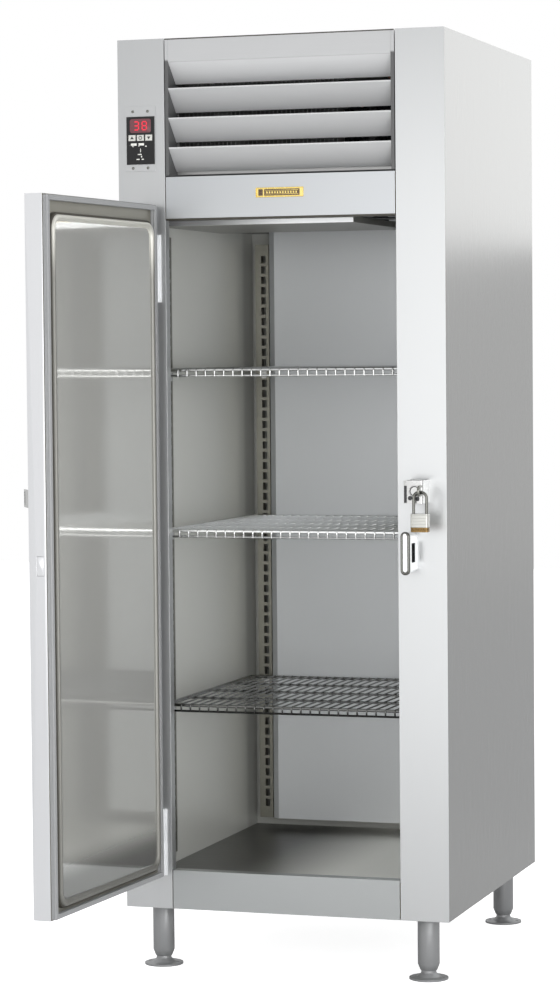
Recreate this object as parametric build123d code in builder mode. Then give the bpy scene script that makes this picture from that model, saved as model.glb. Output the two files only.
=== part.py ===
from build123d import *
import os
from math import cos, radians, sin

os.makedirs("parts", exist_ok=True)

# One-section reach-in refrigerator, millimetres, +Z up, front towards -Y.
# Origin: floor level at the centre of the four feet.

# ---- Driving dimensions ----
SHEET = 1.2                      # stainless sheet
GAP = 0.3                        # clearance between pieces that slide or turn past each other
CAB_W, CAB_D, BODY_H = 759.0, 825.0, 1962.0
LEG_H = 140.0
STILE_W = 111.0
SILL_H = 88.0
OPENING_TOP = 1560.0             # above the underside of the body
HEADER_TOP = 1653.0
JAMB = 25.0                      # depth of the stile returns
LINTEL = 60.0
LINER_HALF_W = 319.5
LINER_BACK = 350.0               # inner face of the back liner, Y
FLOOR_Z, CEILING_Z, DECK_Z = 218.0, 1776.0, 1834.8

X_SIDE, Y_FRONT, Y_BACK = CAB_W / 2, -CAB_D / 2, CAB_D / 2
Z_BASE, Z_TOP = LEG_H, LEG_H + BODY_H
X_OPEN = X_SIDE - STILE_W
Z_SILL, Z_OPEN, Z_HEADER = Z_BASE + SILL_H, Z_BASE + OPENING_TOP, Z_BASE + HEADER_TOP
Z_DECK_TOP = DECK_Z + SHEET

# Door, in its own closed frame: u along the door from the hinge axis, v into the cabinet
HINGE_X, HINGE_Y = -X_SIDE + 89.0, Y_FRONT - 12.0
DOOR_ANGLE = 93.5                # how far open the door stands at rest
DOOR_U0, DOOR_U1 = 8.0, 573.0
DOOR_T = 40.0
DOOR_Z0, DOOR_Z1 = Z_BASE + 74.0, Z_BASE + 1592.0
PLUG_IN, PLUG_RAISE, FIELD_RAISE = 10.0, 15.5, 9.5
GASKET_T, GASKET_W = 11.7, 11.0
U_OPEN0, U_OPEN1 = -X_OPEN - HINGE_X, X_OPEN - HINGE_X
HANDLE_Z = 958.0                 # height of the latch, its lever and its keeper
LEVER_U = DOOR_U1 - 110.0
ROSE_R, LEVER_LEN, SPINDLE_R = 26.0, 118.0, 6.1
HASP_U, HASP_V, HASP_Z = DOOR_U1 - 25.0, -DOOR_T - 4.0, 1095.0
HASP_ANGLE = 143.0               # how far the hasp flap is folded back at rest
HASP_LEN, HASP_H, HASP_T = 88.0, 38.0, 2.5

# Lock staple and padlock
STAPLE_X, STAPLE_PROUD = 336.5, 55.0
STAPLE_WIRE, STAPLE_HALF = 3.0, 9.5
SHACKLE_R, SHACKLE_HALF, SHACKLE_BEND = 3.25, 14.5, 12.5
PADLOCK_TOP, PADLOCK_W, PADLOCK_H, PADLOCK_T = 1045.5, 40.0, 40.0, 20.0

# Feet
LEG_X, LEG_Y = X_SIDE - 65.0, CAB_D / 2 - 65.0
LEG_R, FOOT_R, FOOT_HOLE_R, FOOT_HOLE_OFFSET = 24.5, 44.0, 4.35, 33.0

# Shelves and their supports
SHELF_Z = {"shelf_upper": 1360.0, "shelf_middle": 995.0, "shelf_lower": 597.0}
SHELF_HALF_W, SHELF_Y0, SHELF_Y1 = 306.0, -350.0, 268.0
SLOT_PITCH = 25.4
PILASTER_Y = -267.5
REAR_PILASTER_Y, DUCT_Y = 287.5, 275.0
PILASTER_Z0, PILASTER_Z1 = 244.0, 1664.0


def save(part, name):
    """Label a finished part and write it to its own file."""
    part.label = name
    export_step(part, f"parts/{name}.step")


def block(x, y, z, mode=Mode.ADD):
    """A box between low and high values along each axis of the open part."""
    with Locations(((x[0] + x[1]) / 2, (y[0] + y[1]) / 2, (z[0] + z[1]) / 2)):
        Box(x[1] - x[0], y[1] - y[0], z[1] - z[0], mode=mode)


def rod(radius, start, end, mode=Mode.ADD):
    """A round bar between two points that differ along one axis only."""
    span = [b - a for a, b in zip(start, end)]
    turn = (0, 90, 0) if abs(span[0]) > 0 else (90, 0, 0) if abs(span[1]) > 0 else (0, 0, 0)
    with Locations(tuple((a + b) / 2 for a, b in zip(start, end))):
        Cylinder(radius, abs(sum(span)), rotation=turn, mode=mode)


# ======================= Outer casing =======================
for side, name in ((-1, "left_side_panel"), (1, "right_side_panel")):
    outer, inner = sorted((side * X_SIDE, side * (X_SIDE - SHEET)))
    lip = sorted((side * (X_SIDE - SHEET), side * (X_SIDE - 14)))
    with BuildPart() as side_panel:
        block((outer, inner), (Y_FRONT + SHEET, Y_BACK), (Z_BASE, Z_TOP))
        block(lip, (Y_BACK - SHEET, Y_BACK), (Z_BASE, Z_TOP))
    save(side_panel.part, name)

BACK_HALF_W = X_SIDE - 14 - GAP
with BuildPart() as back_panel:
    block((-BACK_HALF_W, BACK_HALF_W), (Y_BACK - SHEET, Y_BACK), (Z_BASE, Z_TOP))
    for row in range(6):
        block((-240, 60), (Y_BACK - 3, Y_BACK + 1), (1896 + row * 26, 1903 + row * 26), mode=Mode.SUBTRACT)
    rod(11.2, (250, Y_BACK - 5, 1905), (250, Y_BACK + 5, 1905), mode=Mode.SUBTRACT)
save(back_panel.part, "back_panel")

LOUVRE_DEEP = 58.0
with BuildPart() as top_panel:
    block((-X_SIDE + SHEET, X_SIDE - SHEET), (Y_FRONT + LOUVRE_DEEP + 2, Y_BACK - SHEET),
          (Z_TOP - SHEET, Z_TOP))
    for side in (-1, 1):
        block(sorted((side * (X_OPEN + SHEET + 0.2), side * (X_SIDE - SHEET))),
              (Y_FRONT + SHEET, Y_FRONT + LOUVRE_DEEP + 2), (Z_TOP - SHEET, Z_TOP))
    with Locations((0, 60, Z_TOP)):
        with GridLocations(230, 34, 2, 10):
            Box(180, 9, 6, mode=Mode.SUBTRACT)
save(top_panel.part, "top_panel")

with BuildPart() as base_panel:
    block((-X_SIDE + SHEET, X_SIDE - SHEET), (Y_FRONT + SHEET, Y_BACK - SHEET),
          (Z_BASE, Z_BASE + SHEET))
save(base_panel.part, "base_panel")

for side, name in ((-1, "left_stile"), (1, "right_stile")):
    with BuildPart() as stile:
        block(sorted((side * X_OPEN, side * X_SIDE)), (Y_FRONT, Y_FRONT + SHEET), (Z_BASE, Z_TOP))
        block(sorted((side * X_OPEN, side * (X_OPEN + SHEET))), (Y_FRONT, Y_FRONT + JAMB),
              (Z_BASE + SHEET, Z_TOP))
    save(stile.part, name)

TRIM_HALF = X_OPEN - 1.8           # leaves an open seam beside each stile
with BuildPart() as sill_panel:
    block((-TRIM_HALF, TRIM_HALF), (Y_FRONT, Y_FRONT + SHEET), (Z_BASE, Z_SILL))
    block((-TRIM_HALF, TRIM_HALF), (Y_FRONT, Y_FRONT + 30), (Z_SILL - SHEET, Z_SILL))
save(sill_panel.part, "sill_panel")

with BuildPart() as header_panel:
    block((-TRIM_HALF, TRIM_HALF), (Y_FRONT, Y_FRONT + SHEET), (Z_OPEN, Z_HEADER))
    block((-TRIM_HALF, TRIM_HALF), (Y_FRONT, Y_FRONT + 20), (Z_HEADER - SHEET, Z_HEADER))
    block((-TRIM_HALF, TRIM_HALF), (Y_FRONT, Y_FRONT + LINTEL), (Z_OPEN, Z_OPEN + SHEET))
    block((-LINER_HALF_W + GAP, LINER_HALF_W - GAP), (Y_FRONT + JAMB + 2 * SHEET, Y_FRONT + LINTEL),
          (Z_OPEN, Z_OPEN + SHEET))
save(header_panel.part, "header_panel")

BADGE_X, BADGE_Z, BADGE_T = (-54, 57), (1742, 1764), 3.0
with BuildPart() as badge:
    block(BADGE_X, (Y_FRONT - BADGE_T, Y_FRONT), BADGE_Z)
    block((BADGE_X[0] + 3, BADGE_X[1] - 3), (Y_FRONT - BADGE_T, Y_FRONT - 2),
          (BADGE_Z[0] + 3, BADGE_Z[1] - 3), mode=Mode.SUBTRACT)
save(badge.part, "badge")

# ======================= Front louvre =======================
LOUVRE_Z0, CHEEK_X = Z_HEADER + 3, 260.0
with BuildPart() as louvre_frame:
    for side in (-1, 1):
        block(sorted((side * CHEEK_X, side * TRIM_HALF)), (Y_FRONT, Y_FRONT + SHEET),
              (LOUVRE_Z0, Z_TOP))
        block(sorted((side * CHEEK_X, side * (CHEEK_X - SHEET))), (Y_FRONT, Y_FRONT + LOUVRE_DEEP),
              (LOUVRE_Z0, Z_TOP))
    for z0 in (LOUVRE_Z0, Z_TOP - SHEET):
        block((-CHEEK_X, CHEEK_X), (Y_FRONT + 2, Y_FRONT + LOUVRE_DEEP), (z0, z0 + SHEET))
save(louvre_frame.part, "louvre_frame")

BLADE_TOPS = (1991.0, 1925.0, 1859.0)
BLADE_DROP, BLADE_DEEP, BLADE_T, BLADE_LIP = 52.0, 50.0, 1.5, 3.0
FASCIA_Z, FASCIA_LOW = 2050.0, 2003.0
BLADE_HALF = CHEEK_X - SHEET - 0.2


def blade(outline):
    """Extrude a blade's side outline, drawn as (depth, height), across the louvre."""
    with BuildSketch(Plane.YZ.offset(-BLADE_HALF)) as section:
        with BuildLine():
            Polyline(*[(Y_FRONT + y, z) for y, z in outline], close=True)
        make_face()
    extrude(section.sketch, amount=2 * BLADE_HALF)


with BuildPart() as louvre_blades:
    blade([(0, Z_TOP - 1.5), (BLADE_T, Z_TOP - 1.5), (BLADE_T, FASCIA_Z),
           (BLADE_DEEP, FASCIA_LOW + 1.5), (BLADE_DEEP, FASCIA_LOW), (0, FASCIA_Z)])
    for top in BLADE_TOPS:
        blade([(0, top), (BLADE_T, top), (BLADE_T, top - BLADE_LIP),
               (BLADE_DEEP, top - BLADE_DROP + 1.5), (BLADE_DEEP, top - BLADE_DROP),
               (0, top - BLADE_LIP)])
save(louvre_blades.part, "louvre_blades")

# ======================= Insulation and inner liner =======================
LINER_OUT = LINER_HALF_W + SHEET
FOAM_X, FOAM_Y0, FOAM_Y1 = X_SIDE - SHEET - 0.2, Y_FRONT + SHEET + 0.2, Y_BACK - SHEET - 0.2
JAMB_Y, LINTEL_Y = Y_FRONT + JAMB, Y_FRONT + LINTEL
FOAM_Z0, FOAM_Z1 = Z_BASE + SHEET + 0.2, DECK_Z - 0.2
FOAM_FLOOR, FOAM_ROOF = FLOOR_Z - SHEET - 0.2, CEILING_Z + SHEET + 0.2
HEADER_FOAM = (Z_OPEN + SHEET + 0.2, Z_HEADER - SHEET - 0.2)
LINE_HOLES = ((180.0, 200.0), (230.0, 200.0))
with BuildPart() as insulation:
    block((-X_OPEN + 4, X_OPEN - 4), (FOAM_Y0, JAMB_Y), (FOAM_Z0, FOAM_FLOOR))
    block((-FOAM_X, FOAM_X), (JAMB_Y + GAP, FOAM_Y1), (FOAM_Z0, FOAM_FLOOR))
    for side in (-1, 1):
        block(sorted((side * (X_OPEN + SHEET + 0.2), side * FOAM_X)), (FOAM_Y0, JAMB_Y - 0.2),
              (FOAM_Z0, HEADER_FOAM[1]))
        block(sorted((side * (LINER_OUT + 0.2), side * FOAM_X)), (JAMB_Y + GAP, FOAM_Y1),
              (FOAM_FLOOR + GAP, FOAM_ROOF - GAP))
        block(sorted((side * (LINER_OUT + 0.2), side * FOAM_X)), (LINTEL_Y + GAP, FOAM_Y1),
              (FOAM_ROOF, FOAM_Z1))
    block((-LINER_OUT, LINER_OUT), (LINER_BACK + SHEET + 0.2, FOAM_Y1),
          (FOAM_FLOOR + GAP, FOAM_ROOF - GAP))
    block((-LINER_OUT, LINER_OUT), (LINTEL_Y + GAP, FOAM_Y1), (FOAM_ROOF, FOAM_Z1))
    block((-X_OPEN + 4, X_OPEN - 4), (FOAM_Y0, JAMB_Y), HEADER_FOAM)
    block((-LINER_HALF_W + GAP, LINER_HALF_W - GAP), (JAMB_Y + 2 * SHEET, LINTEL_Y - SHEET - 0.2),
          HEADER_FOAM)
    for x, y in LINE_HOLES:
        rod(5, (x, y, CEILING_Z), (x, y, DECK_Z + 1), mode=Mode.SUBTRACT)
save(insulation.part, "insulation")

with BuildPart() as inner_liner:
    for side in (-1, 1):
        block(sorted((side * LINER_HALF_W, side * LINER_OUT)), (Y_FRONT + JAMB, LINER_BACK + SHEET),
              (FLOOR_Z - SHEET, CEILING_Z + SHEET))
        block(sorted((side * LINER_OUT, side * (X_OPEN + SHEET))),
              (Y_FRONT + JAMB, Y_FRONT + JAMB + SHEET), (FLOOR_Z - SHEET, CEILING_Z + SHEET))
    half = LINER_HALF_W - GAP
    block((-half, half), (LINER_BACK, LINER_BACK + SHEET), (FLOOR_Z - SHEET, CEILING_Z + SHEET))
    block((-half, half), (LINTEL_Y + GAP, LINER_BACK - GAP), (CEILING_Z, CEILING_Z + SHEET))
    block((-half, half), (LINTEL_Y - SHEET, LINTEL_Y), (Z_OPEN + SHEET, CEILING_Z + SHEET))
    for x, y in LINE_HOLES:
        rod(5, (x, y, CEILING_Z - 2), (x, y, CEILING_Z + 3), mode=Mode.SUBTRACT)
save(inner_liner.part, "inner_liner")

with BuildPart() as floor_pan:
    half = LINER_HALF_W - GAP
    block((-half, half), (Y_FRONT + JAMB + 2 * SHEET, LINER_BACK - GAP), (FLOOR_Z - SHEET, FLOOR_Z))
    block((-X_OPEN, X_OPEN), (Y_FRONT + 31, Y_FRONT + 31 + SHEET), (FLOOR_Z - SHEET, Z_SILL - SHEET))
save(floor_pan.part, "floor_pan")

# ======================= Shelf supports and rear air duct =======================
SLOT_ROWS = int((PILASTER_Z1 - PILASTER_Z0 - 30) / SLOT_PITCH)
SLOT_MID = (PILASTER_Z0 + PILASTER_Z1) / 2
REAR_X0, REAR_X1, REAR_SLOT_X = -291.0, -256.5, -270.0
SLOT_W, SLOT_H = 12.0, 18.0
with BuildPart() as pilasters:
    for side in (-1, 1):
        block(sorted((side * -REAR_X0, side * -REAR_X1)),
              (REAR_PILASTER_Y, REAR_PILASTER_Y + SHEET), (PILASTER_Z0, PILASTER_Z1))
        for flange in ((-REAR_X1, -REAR_X1 + SHEET), (-REAR_X0 - SHEET, -REAR_X0)):
            block(sorted(side * x for x in flange), (REAR_PILASTER_Y, LINER_BACK - GAP),
                  (PILASTER_Z0, PILASTER_Z1))
        block(sorted((side * (LINER_HALF_W - GAP), side * (LINER_HALF_W - 6))),
              (PILASTER_Y - 15, PILASTER_Y + 15), (PILASTER_Z0, PILASTER_Z1))
        with Locations(Location((side * -REAR_SLOT_X, REAR_PILASTER_Y, SLOT_MID), (90, 0, 0))):
            with GridLocations(0, SLOT_PITCH, 1, SLOT_ROWS):
                Box(SLOT_W, SLOT_H, 8, mode=Mode.SUBTRACT)
        with Locations(Location((side * (LINER_HALF_W - 6), PILASTER_Y, SLOT_MID), (0, 90, 0))):
            with GridLocations(SLOT_PITCH, 0, SLOT_ROWS, 1):
                Box(SLOT_H, SLOT_W, 8, mode=Mode.SUBTRACT)
save(pilasters.part, "pilasters")

DUCT_HALF_W, DUCT_EDGE = 238.0, 255.0
with BuildPart() as duct_panel:
    with BuildSketch(Plane.XY.offset(PILASTER_Z0)):
        with BuildLine():
            Polyline((-DUCT_EDGE, LINER_BACK - GAP), (-DUCT_EDGE, 289), (-DUCT_HALF_W, DUCT_Y),
                     (DUCT_HALF_W, DUCT_Y), (DUCT_EDGE, 289), (DUCT_EDGE, LINER_BACK - GAP),
                     (DUCT_EDGE - SHEET, LINER_BACK - GAP), (DUCT_EDGE - SHEET, 289.6),
                     (DUCT_HALF_W - 0.4, DUCT_Y + SHEET), (-DUCT_HALF_W + 0.4, DUCT_Y + SHEET),
                     (-DUCT_EDGE + SHEET, 289.6), (-DUCT_EDGE + SHEET, LINER_BACK - GAP), close=True)
        make_face()
    extrude(amount=CEILING_Z - 30 - PILASTER_Z0)
save(duct_panel.part, "duct_panel")

CLIP_T, CLIP_W, CLIP_REACH, CLIP_TALL = 2.5, 12.0, 24.0, 22.0
ROD_R, WIRE_R, CROSS_R = 3.5, 2.0, 3.0
with BuildPart() as shelf_clips:
    for z in SHELF_Z.values():
        top = z - ROD_R - 0.05
        for side in (-1, 1):
            wall = side * (LINER_HALF_W - 6 - 0.1)
            y = PILASTER_Y
            block(sorted((wall, wall - side * CLIP_REACH)), (y - CLIP_W / 2, y + CLIP_W / 2),
                  (top - CLIP_T, top))
            block(sorted((wall, wall - side * CLIP_T)), (y - CLIP_W / 2, y + CLIP_W / 2),
                  (top - CLIP_TALL, top))
            x, face = side * -REAR_SLOT_X, REAR_PILASTER_Y - 0.1
            block((x - CLIP_W / 2, x + CLIP_W / 2), (face - CLIP_REACH, face), (top - CLIP_T, top))
            block((x - CLIP_W / 2, x + CLIP_W / 2), (face - CLIP_T, face), (top - CLIP_TALL, top))
save(shelf_clips.part, "shelf_clips")

# ======================= Wire shelves =======================
WIRE_PITCH, WIRE_RISE, LIP_DROP = 22.0, 2.5, 13.0
WIRES = int((2 * SHELF_HALF_W - 20) / WIRE_PITCH)
FRONT_WIRE_Y = SHELF_Y0 - 4.0


def wire(radius, place, length):
    """A twelve-sided wire that starts at a plane and runs along its normal."""
    with BuildSketch(place) as section:
        RegularPolygon(radius, 12, rotation=15)
    extrude(section.sketch, amount=length)


def along_x(radius, x0, x1, y, z):
    wire(radius, Plane(origin=(x0, y, z), x_dir=(0, 1, 0), z_dir=(1, 0, 0)), x1 - x0)


def along_y(radius, x, y0, y1, z):
    wire(radius, Plane(origin=(x, y0, z), x_dir=(1, 0, 0), z_dir=(0, 1, 0)), y1 - y0)


with BuildPart() as shelf:
    for y in (SHELF_Y0, SHELF_Y1):
        along_x(ROD_R, -SHELF_HALF_W - 2, SHELF_HALF_W + 2, y, 0)
    for x in (-SHELF_HALF_W, SHELF_HALF_W):
        along_y(ROD_R - 0.3, x, SHELF_Y0 - 1, SHELF_Y1 + 1, 0.1)
    for y in (-195, -40, 115):
        along_x(CROSS_R, -SHELF_HALF_W, SHELF_HALF_W, y, -1.1)
    along_x(CROSS_R - 0.5, -SHELF_HALF_W + 14, SHELF_HALF_W - 14, SHELF_Y0 - 1.7, -LIP_DROP)
    for i in range(WIRES + 1):
        x = (i - WIRES / 2) * WIRE_PITCH
        along_y(WIRE_R, x, FRONT_WIRE_Y - 0.9, SHELF_Y1 + 1.3, WIRE_RISE)
        wire(WIRE_R, Plane((x, FRONT_WIRE_Y, -LIP_DROP - 1.4)), WIRE_RISE + LIP_DROP + 2.2)
for name, z in SHELF_Z.items():
    save(shelf.part.moved(Location((0, 0, z))), name)

# ======================= Evaporator side, under the ceiling =======================
HOUSE_X, HOUSE_Y, HOUSE_Z = (-319.0, 150.0), (-340.0, 110.0), (1686.0, CEILING_Z - GAP)
with BuildPart() as evaporator_housing:
    block(HOUSE_X, HOUSE_Y, HOUSE_Z)
    block((HOUSE_X[0] - 1, HOUSE_X[1] - SHEET), (HOUSE_Y[0] + SHEET, HOUSE_Y[1] - SHEET),
          (HOUSE_Z[0] + SHEET, HOUSE_Z[1] + 1), mode=Mode.SUBTRACT)
    block((HOUSE_X[1] - 5, HOUSE_X[1] + 5), (-300, 60), (HOUSE_Z[0] + 14, HOUSE_Z[1] - 12),
          mode=Mode.SUBTRACT)
    for i in range(8):
        x = -270 + i * 52
        block((x, x + 38), (HOUSE_Y[1] - 5, HOUSE_Y[1] + 5), (HOUSE_Z[0] + 20, HOUSE_Z[1] - 16),
              mode=Mode.SUBTRACT)
save(evaporator_housing.part, "evaporator_housing")


def coil(x, y, z, fins, rows, columns, tube_r):
    """A finned coil: plate fins on straight tubes along X, joined by return bends."""
    pitch = (x[1] - x[0] - 1) / (fins - 1)
    for i in range(fins):
        block((x[0] + i * pitch, x[0] + i * pitch + 1), y, z)
    tube_y = [y[0] + (j + 0.5) * (y[1] - y[0]) / columns for j in range(columns)]
    tube_z = [z[0] + (k + 0.5) * (z[1] - z[0]) / rows for k in range(rows)]
    for ty in tube_y:
        for tz in tube_z:
            rod(tube_r, (x[0] - 12, ty, tz), (x[1] + 12, ty, tz))
        for k, (low, high) in enumerate(zip(tube_z, tube_z[1:])):
            end = x[1] + 12 if k % 2 else x[0] - 12
            rod(tube_r, (end, ty, low), (end, ty, high))


with BuildPart() as evaporator_coil:
    coil((-280, 110), (-310, 80), (1696, 1764), fins=30, rows=3, columns=5, tube_r=4.8)
save(evaporator_coil.part, "evaporator_coil")

FAN_X, FAN_Y = 236.0, -230.0
SHROUD_X, SHROUD_Y, SHROUD_Z = (152.0, 318.0), (-346.0, -120.0), (1700.0, CEILING_Z - GAP)
with BuildPart() as evaporator_fan_shroud:
    block(SHROUD_X, SHROUD_Y, SHROUD_Z)
    block((SHROUD_X[0] + 3, SHROUD_X[1] - 3), (SHROUD_Y[0] + 3, SHROUD_Y[1] + 1),
          (SHROUD_Z[0] + 3, SHROUD_Z[1] + 1), mode=Mode.SUBTRACT)
    block((SHROUD_X[0] - 1, SHROUD_X[0] + 4), (-300, -140), (SHROUD_Z[0] + 8, SHROUD_Z[1] - 12),
          mode=Mode.SUBTRACT)
    rod(74, (FAN_X, FAN_Y, SHROUD_Z[0] - 1), (FAN_X, FAN_Y, SHROUD_Z[0] + 4), mode=Mode.SUBTRACT)
save(evaporator_fan_shroud.part, "evaporator_fan_shroud")


def fan_blades(place, radius, hub_r, depth, count, shaft):
    """A hub with pitched blades about the plane's normal, with a shaft of the given length."""
    with BuildPart(place) as fan:
        with PolarLocations((radius + hub_r) / 2 - 2, count):
            Box(radius - hub_r + 6, radius * 0.62, 2, rotation=(28, 0, 0))
        Cylinder(radius, depth, mode=Mode.INTERSECT)
        Cylinder(hub_r, depth)
        with Locations((0, 0, depth / 2)):
            Cylinder(4, shaft, align=(Align.CENTER, Align.CENTER, Align.MIN))
    return fan


evaporator_fan = fan_blades(Plane((FAN_X, FAN_Y, 1727)), 70, 15, 20, 5, 16)
save(evaporator_fan.part, "evaporator_fan")

# ======================= Machine compartment =======================
with BuildPart() as machine_deck:
    block((-X_SIDE + SHEET, X_SIDE - SHEET), (LINTEL_Y, Y_BACK - SHEET), (DECK_Z, Z_DECK_TOP))
    block((-X_SIDE + SHEET, X_SIDE - SHEET), (LINTEL_Y - SHEET, LINTEL_Y),
          (CEILING_Z + SHEET + 0.2, Z_DECK_TOP))
    for x, y in LINE_HOLES:
        rod(5, (x, y, DECK_Z - 1), (x, y, Z_DECK_TOP + 1), mode=Mode.SUBTRACT)
save(machine_deck.part, "machine_deck")

with BuildPart() as condenser_coil:
    coil((-255, 115), (-340, -290), (Z_DECK_TOP + 4, 2080), fins=38, rows=8, columns=2, tube_r=4.8)
save(condenser_coil.part, "condenser_coil")

COND_X, COND_Z, COND_Y = -70.0, 1958.0, -262.0
with BuildPart() as condenser_fan_shroud:
    block((-255, 115), (-289, -286), (Z_DECK_TOP, 2080))
    rod(108, (COND_X, -300, COND_Z), (COND_X, -280, COND_Z), mode=Mode.SUBTRACT)
    rod(111, (COND_X, -289, COND_Z), (COND_X, -250, COND_Z))
    rod(108, (COND_X, -300, COND_Z), (COND_X, -240, COND_Z), mode=Mode.SUBTRACT)
save(condenser_fan_shroud.part, "condenser_fan_shroud")

condenser_place = Plane((COND_X, COND_Y, COND_Z), x_dir=(1, 0, 0), z_dir=(0, 1, 0))
condenser_fan = fan_blades(condenser_place, 103, 22, 24, 5, 18)
save(condenser_fan.part, "condenser_fan")

SHAFT_BORE = 4.06
with BuildPart() as fan_motors:
    rod(30, (FAN_X, FAN_Y, 1743), (FAN_X, FAN_Y, CEILING_Z - GAP))
    rod(SHAFT_BORE, (FAN_X, FAN_Y, 1740), (FAN_X, FAN_Y, 1756), mode=Mode.SUBTRACT)
    rod(42, (COND_X, -242, COND_Z), (COND_X, -178, COND_Z))
    block((COND_X - 18, COND_X + 18), (-225, -195), (Z_DECK_TOP, COND_Z - 20))
    block((COND_X - 45, COND_X + 45), (-235, -185), (Z_DECK_TOP, Z_DECK_TOP + 3))
    rod(SHAFT_BORE, (COND_X, -244, COND_Z), (COND_X, -226, COND_Z), mode=Mode.SUBTRACT)
save(fan_motors.part, "fan_motors")

COMP_X, COMP_Y, COMP_R = 60.0, 130.0, 85.0
with BuildPart() as compressor:
    with BuildSketch(Plane.XZ.offset(-COMP_Y)):
        with BuildLine():
            Polyline((COMP_X, Z_DECK_TOP + 12), (COMP_X + 66, Z_DECK_TOP + 12),
                     (COMP_X + COMP_R, Z_DECK_TOP + 32), (COMP_X + COMP_R, 1990))
            CenterArc((COMP_X + COMP_R - 40, 1990), 40, 0, 90)
            Polyline((COMP_X + COMP_R - 40, 2030), (COMP_X, 2030), (COMP_X, Z_DECK_TOP + 12))
        make_face()
    revolve(axis=Axis((COMP_X, COMP_Y, 0), (0, 0, 1)))
    block((COMP_X - 100, COMP_X + 100), (COMP_Y - 60, COMP_Y + 60), (Z_DECK_TOP + 10, Z_DECK_TOP + 14))
    block((COMP_X + 70, COMP_X + 118), (COMP_Y - 28, COMP_Y + 28), (1900, 1970))
    with Locations((COMP_X, COMP_Y, Z_DECK_TOP)):
        with GridLocations(170, 96, 2, 2):
            Cylinder(12, 11, align=(Align.CENTER, Align.CENTER, Align.MIN))
save(compressor.part, "compressor")

PIPE_R = 4.0


def pipe(*points, bend=22):
    """A copper tube with rounded bends through the given points."""
    with BuildLine() as route:
        FilletPolyline(*points, radius=bend)
    with BuildSketch(Plane(origin=route.line @ 0, z_dir=route.line % 0)) as section:
        Circle(PIPE_R)
    sweep(section.sketch, path=route.line)


with BuildPart() as refrigerant_lines:
    pipe((COMP_X, COMP_Y - COMP_R - 1, 1975), (COMP_X, -60, 1975), (190, -60, 1975), (190, -303, 2066),
         (128, -303, 2066))
    pipe((128, -303, 1856), (160, -303, 1856), (160, 20, 1856), (180, 200, 1856), (180, 200, 1745), bend=14)
    pipe((230, 200, 1745), (230, 200, 1860), (230, 130, 1860), (230, 130, 1905), (180, 130, 1905), bend=14)
    rod(13, (160, -180, 1856), (160, -90, 1856))
save(refrigerant_lines.part, "refrigerant_lines")

with BuildPart() as electrical_box:
    block((262, 362), (-200, 10), (Z_DECK_TOP, Z_DECK_TOP + 150))
    block((265, 359), (-197, 7), (Z_DECK_TOP + 2, Z_DECK_TOP + 148), mode=Mode.SUBTRACT)
    block((258, 262), (-204, 14), (Z_DECK_TOP + 1, Z_DECK_TOP + 152))
    rod(11, (250, Y_BACK - 12, 1905), (250, Y_BACK + 2, 1905))
    rod(16, (250, Y_BACK + 0.05, 1905), (250, Y_BACK + 6, 1905))
    rod(12.5, (250, Y_BACK + 6, 1905), (250, Y_BACK + 18, 1905))
    rod(5.5, (250, Y_BACK - 13, 1905), (250, Y_BACK + 19, 1905), mode=Mode.SUBTRACT)
save(electrical_box.part, "electrical_box")

with BuildPart() as condensate_pan:
    block((-340, -170), (130, 390), (Z_DECK_TOP, Z_DECK_TOP + 45))
    block((-338, -172), (132, 388), (Z_DECK_TOP + 2, Z_DECK_TOP + 46), mode=Mode.SUBTRACT)
save(condensate_pan.part, "condensate_pan")

# ======================= Control panel =======================
PLATE_X, PLATE_Z, PLATE_T = (-362.5, -290.0), (1807.0, 1953.0), 1.5
FACE_X, FACE_Z, FACE_T = (-358.0, -291.5), (1822.5, 1929.5), 2.5
KEY_W, KEY_H, KEY_GAP, KEY_PITCH, KEY_Z = 16.5, 13.0, 0.3, 20.0, 1882.0
KEY_MID = (FACE_X[0] + FACE_X[1]) / 2
with BuildPart() as control_plate:
    block(PLATE_X, (Y_FRONT - PLATE_T, Y_FRONT), PLATE_Z)
save(control_plate.part, "control_plate")

FACE_BACK = Y_FRONT - PLATE_T
with BuildPart() as control_face:
    block(FACE_X, (FACE_BACK - FACE_T, FACE_BACK), FACE_Z)
    with Locations((KEY_MID, FACE_BACK - FACE_T / 2, KEY_Z)):
        with GridLocations(KEY_PITCH, 0, 3, 1):
            Box(KEY_W + 2 * KEY_GAP, 6, KEY_H + 2 * KEY_GAP, mode=Mode.SUBTRACT)
    block((FACE_X[0] + 8, FACE_X[1] - 8), (FACE_BACK - FACE_T - 1, FACE_BACK - FACE_T + 1),
          (FACE_Z[1] - 37, FACE_Z[1] - 4), mode=Mode.SUBTRACT)
save(control_face.part, "control_face")

for i, name in enumerate(("key_left", "key_middle", "key_right")):
    x = KEY_MID + (i - 1) * KEY_PITCH
    with BuildPart() as key:
        block((x - KEY_W / 2, x + KEY_W / 2), (FACE_BACK - FACE_T - 0.6, FACE_BACK - 1.4),
              (KEY_Z - KEY_H / 2, KEY_Z + KEY_H / 2))
        fillet(key.faces().sort_by(Axis.Y)[0].edges(), 0.5)
    save(key.part, name)

with BuildPart() as control_screws:
    for x in (-343.5, -308.0):
        for z in (1814.5, 1941.0):
            with Locations(Location((x, FACE_BACK, z), (90, 0, 0))):
                Cylinder(3.2, 1.8, align=(Align.CENTER, Align.CENTER, Align.MIN))
    fillet(control_screws.faces().group_by(Axis.Y)[0].edges(), 0.8)
save(control_screws.part, "control_screws")

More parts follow.
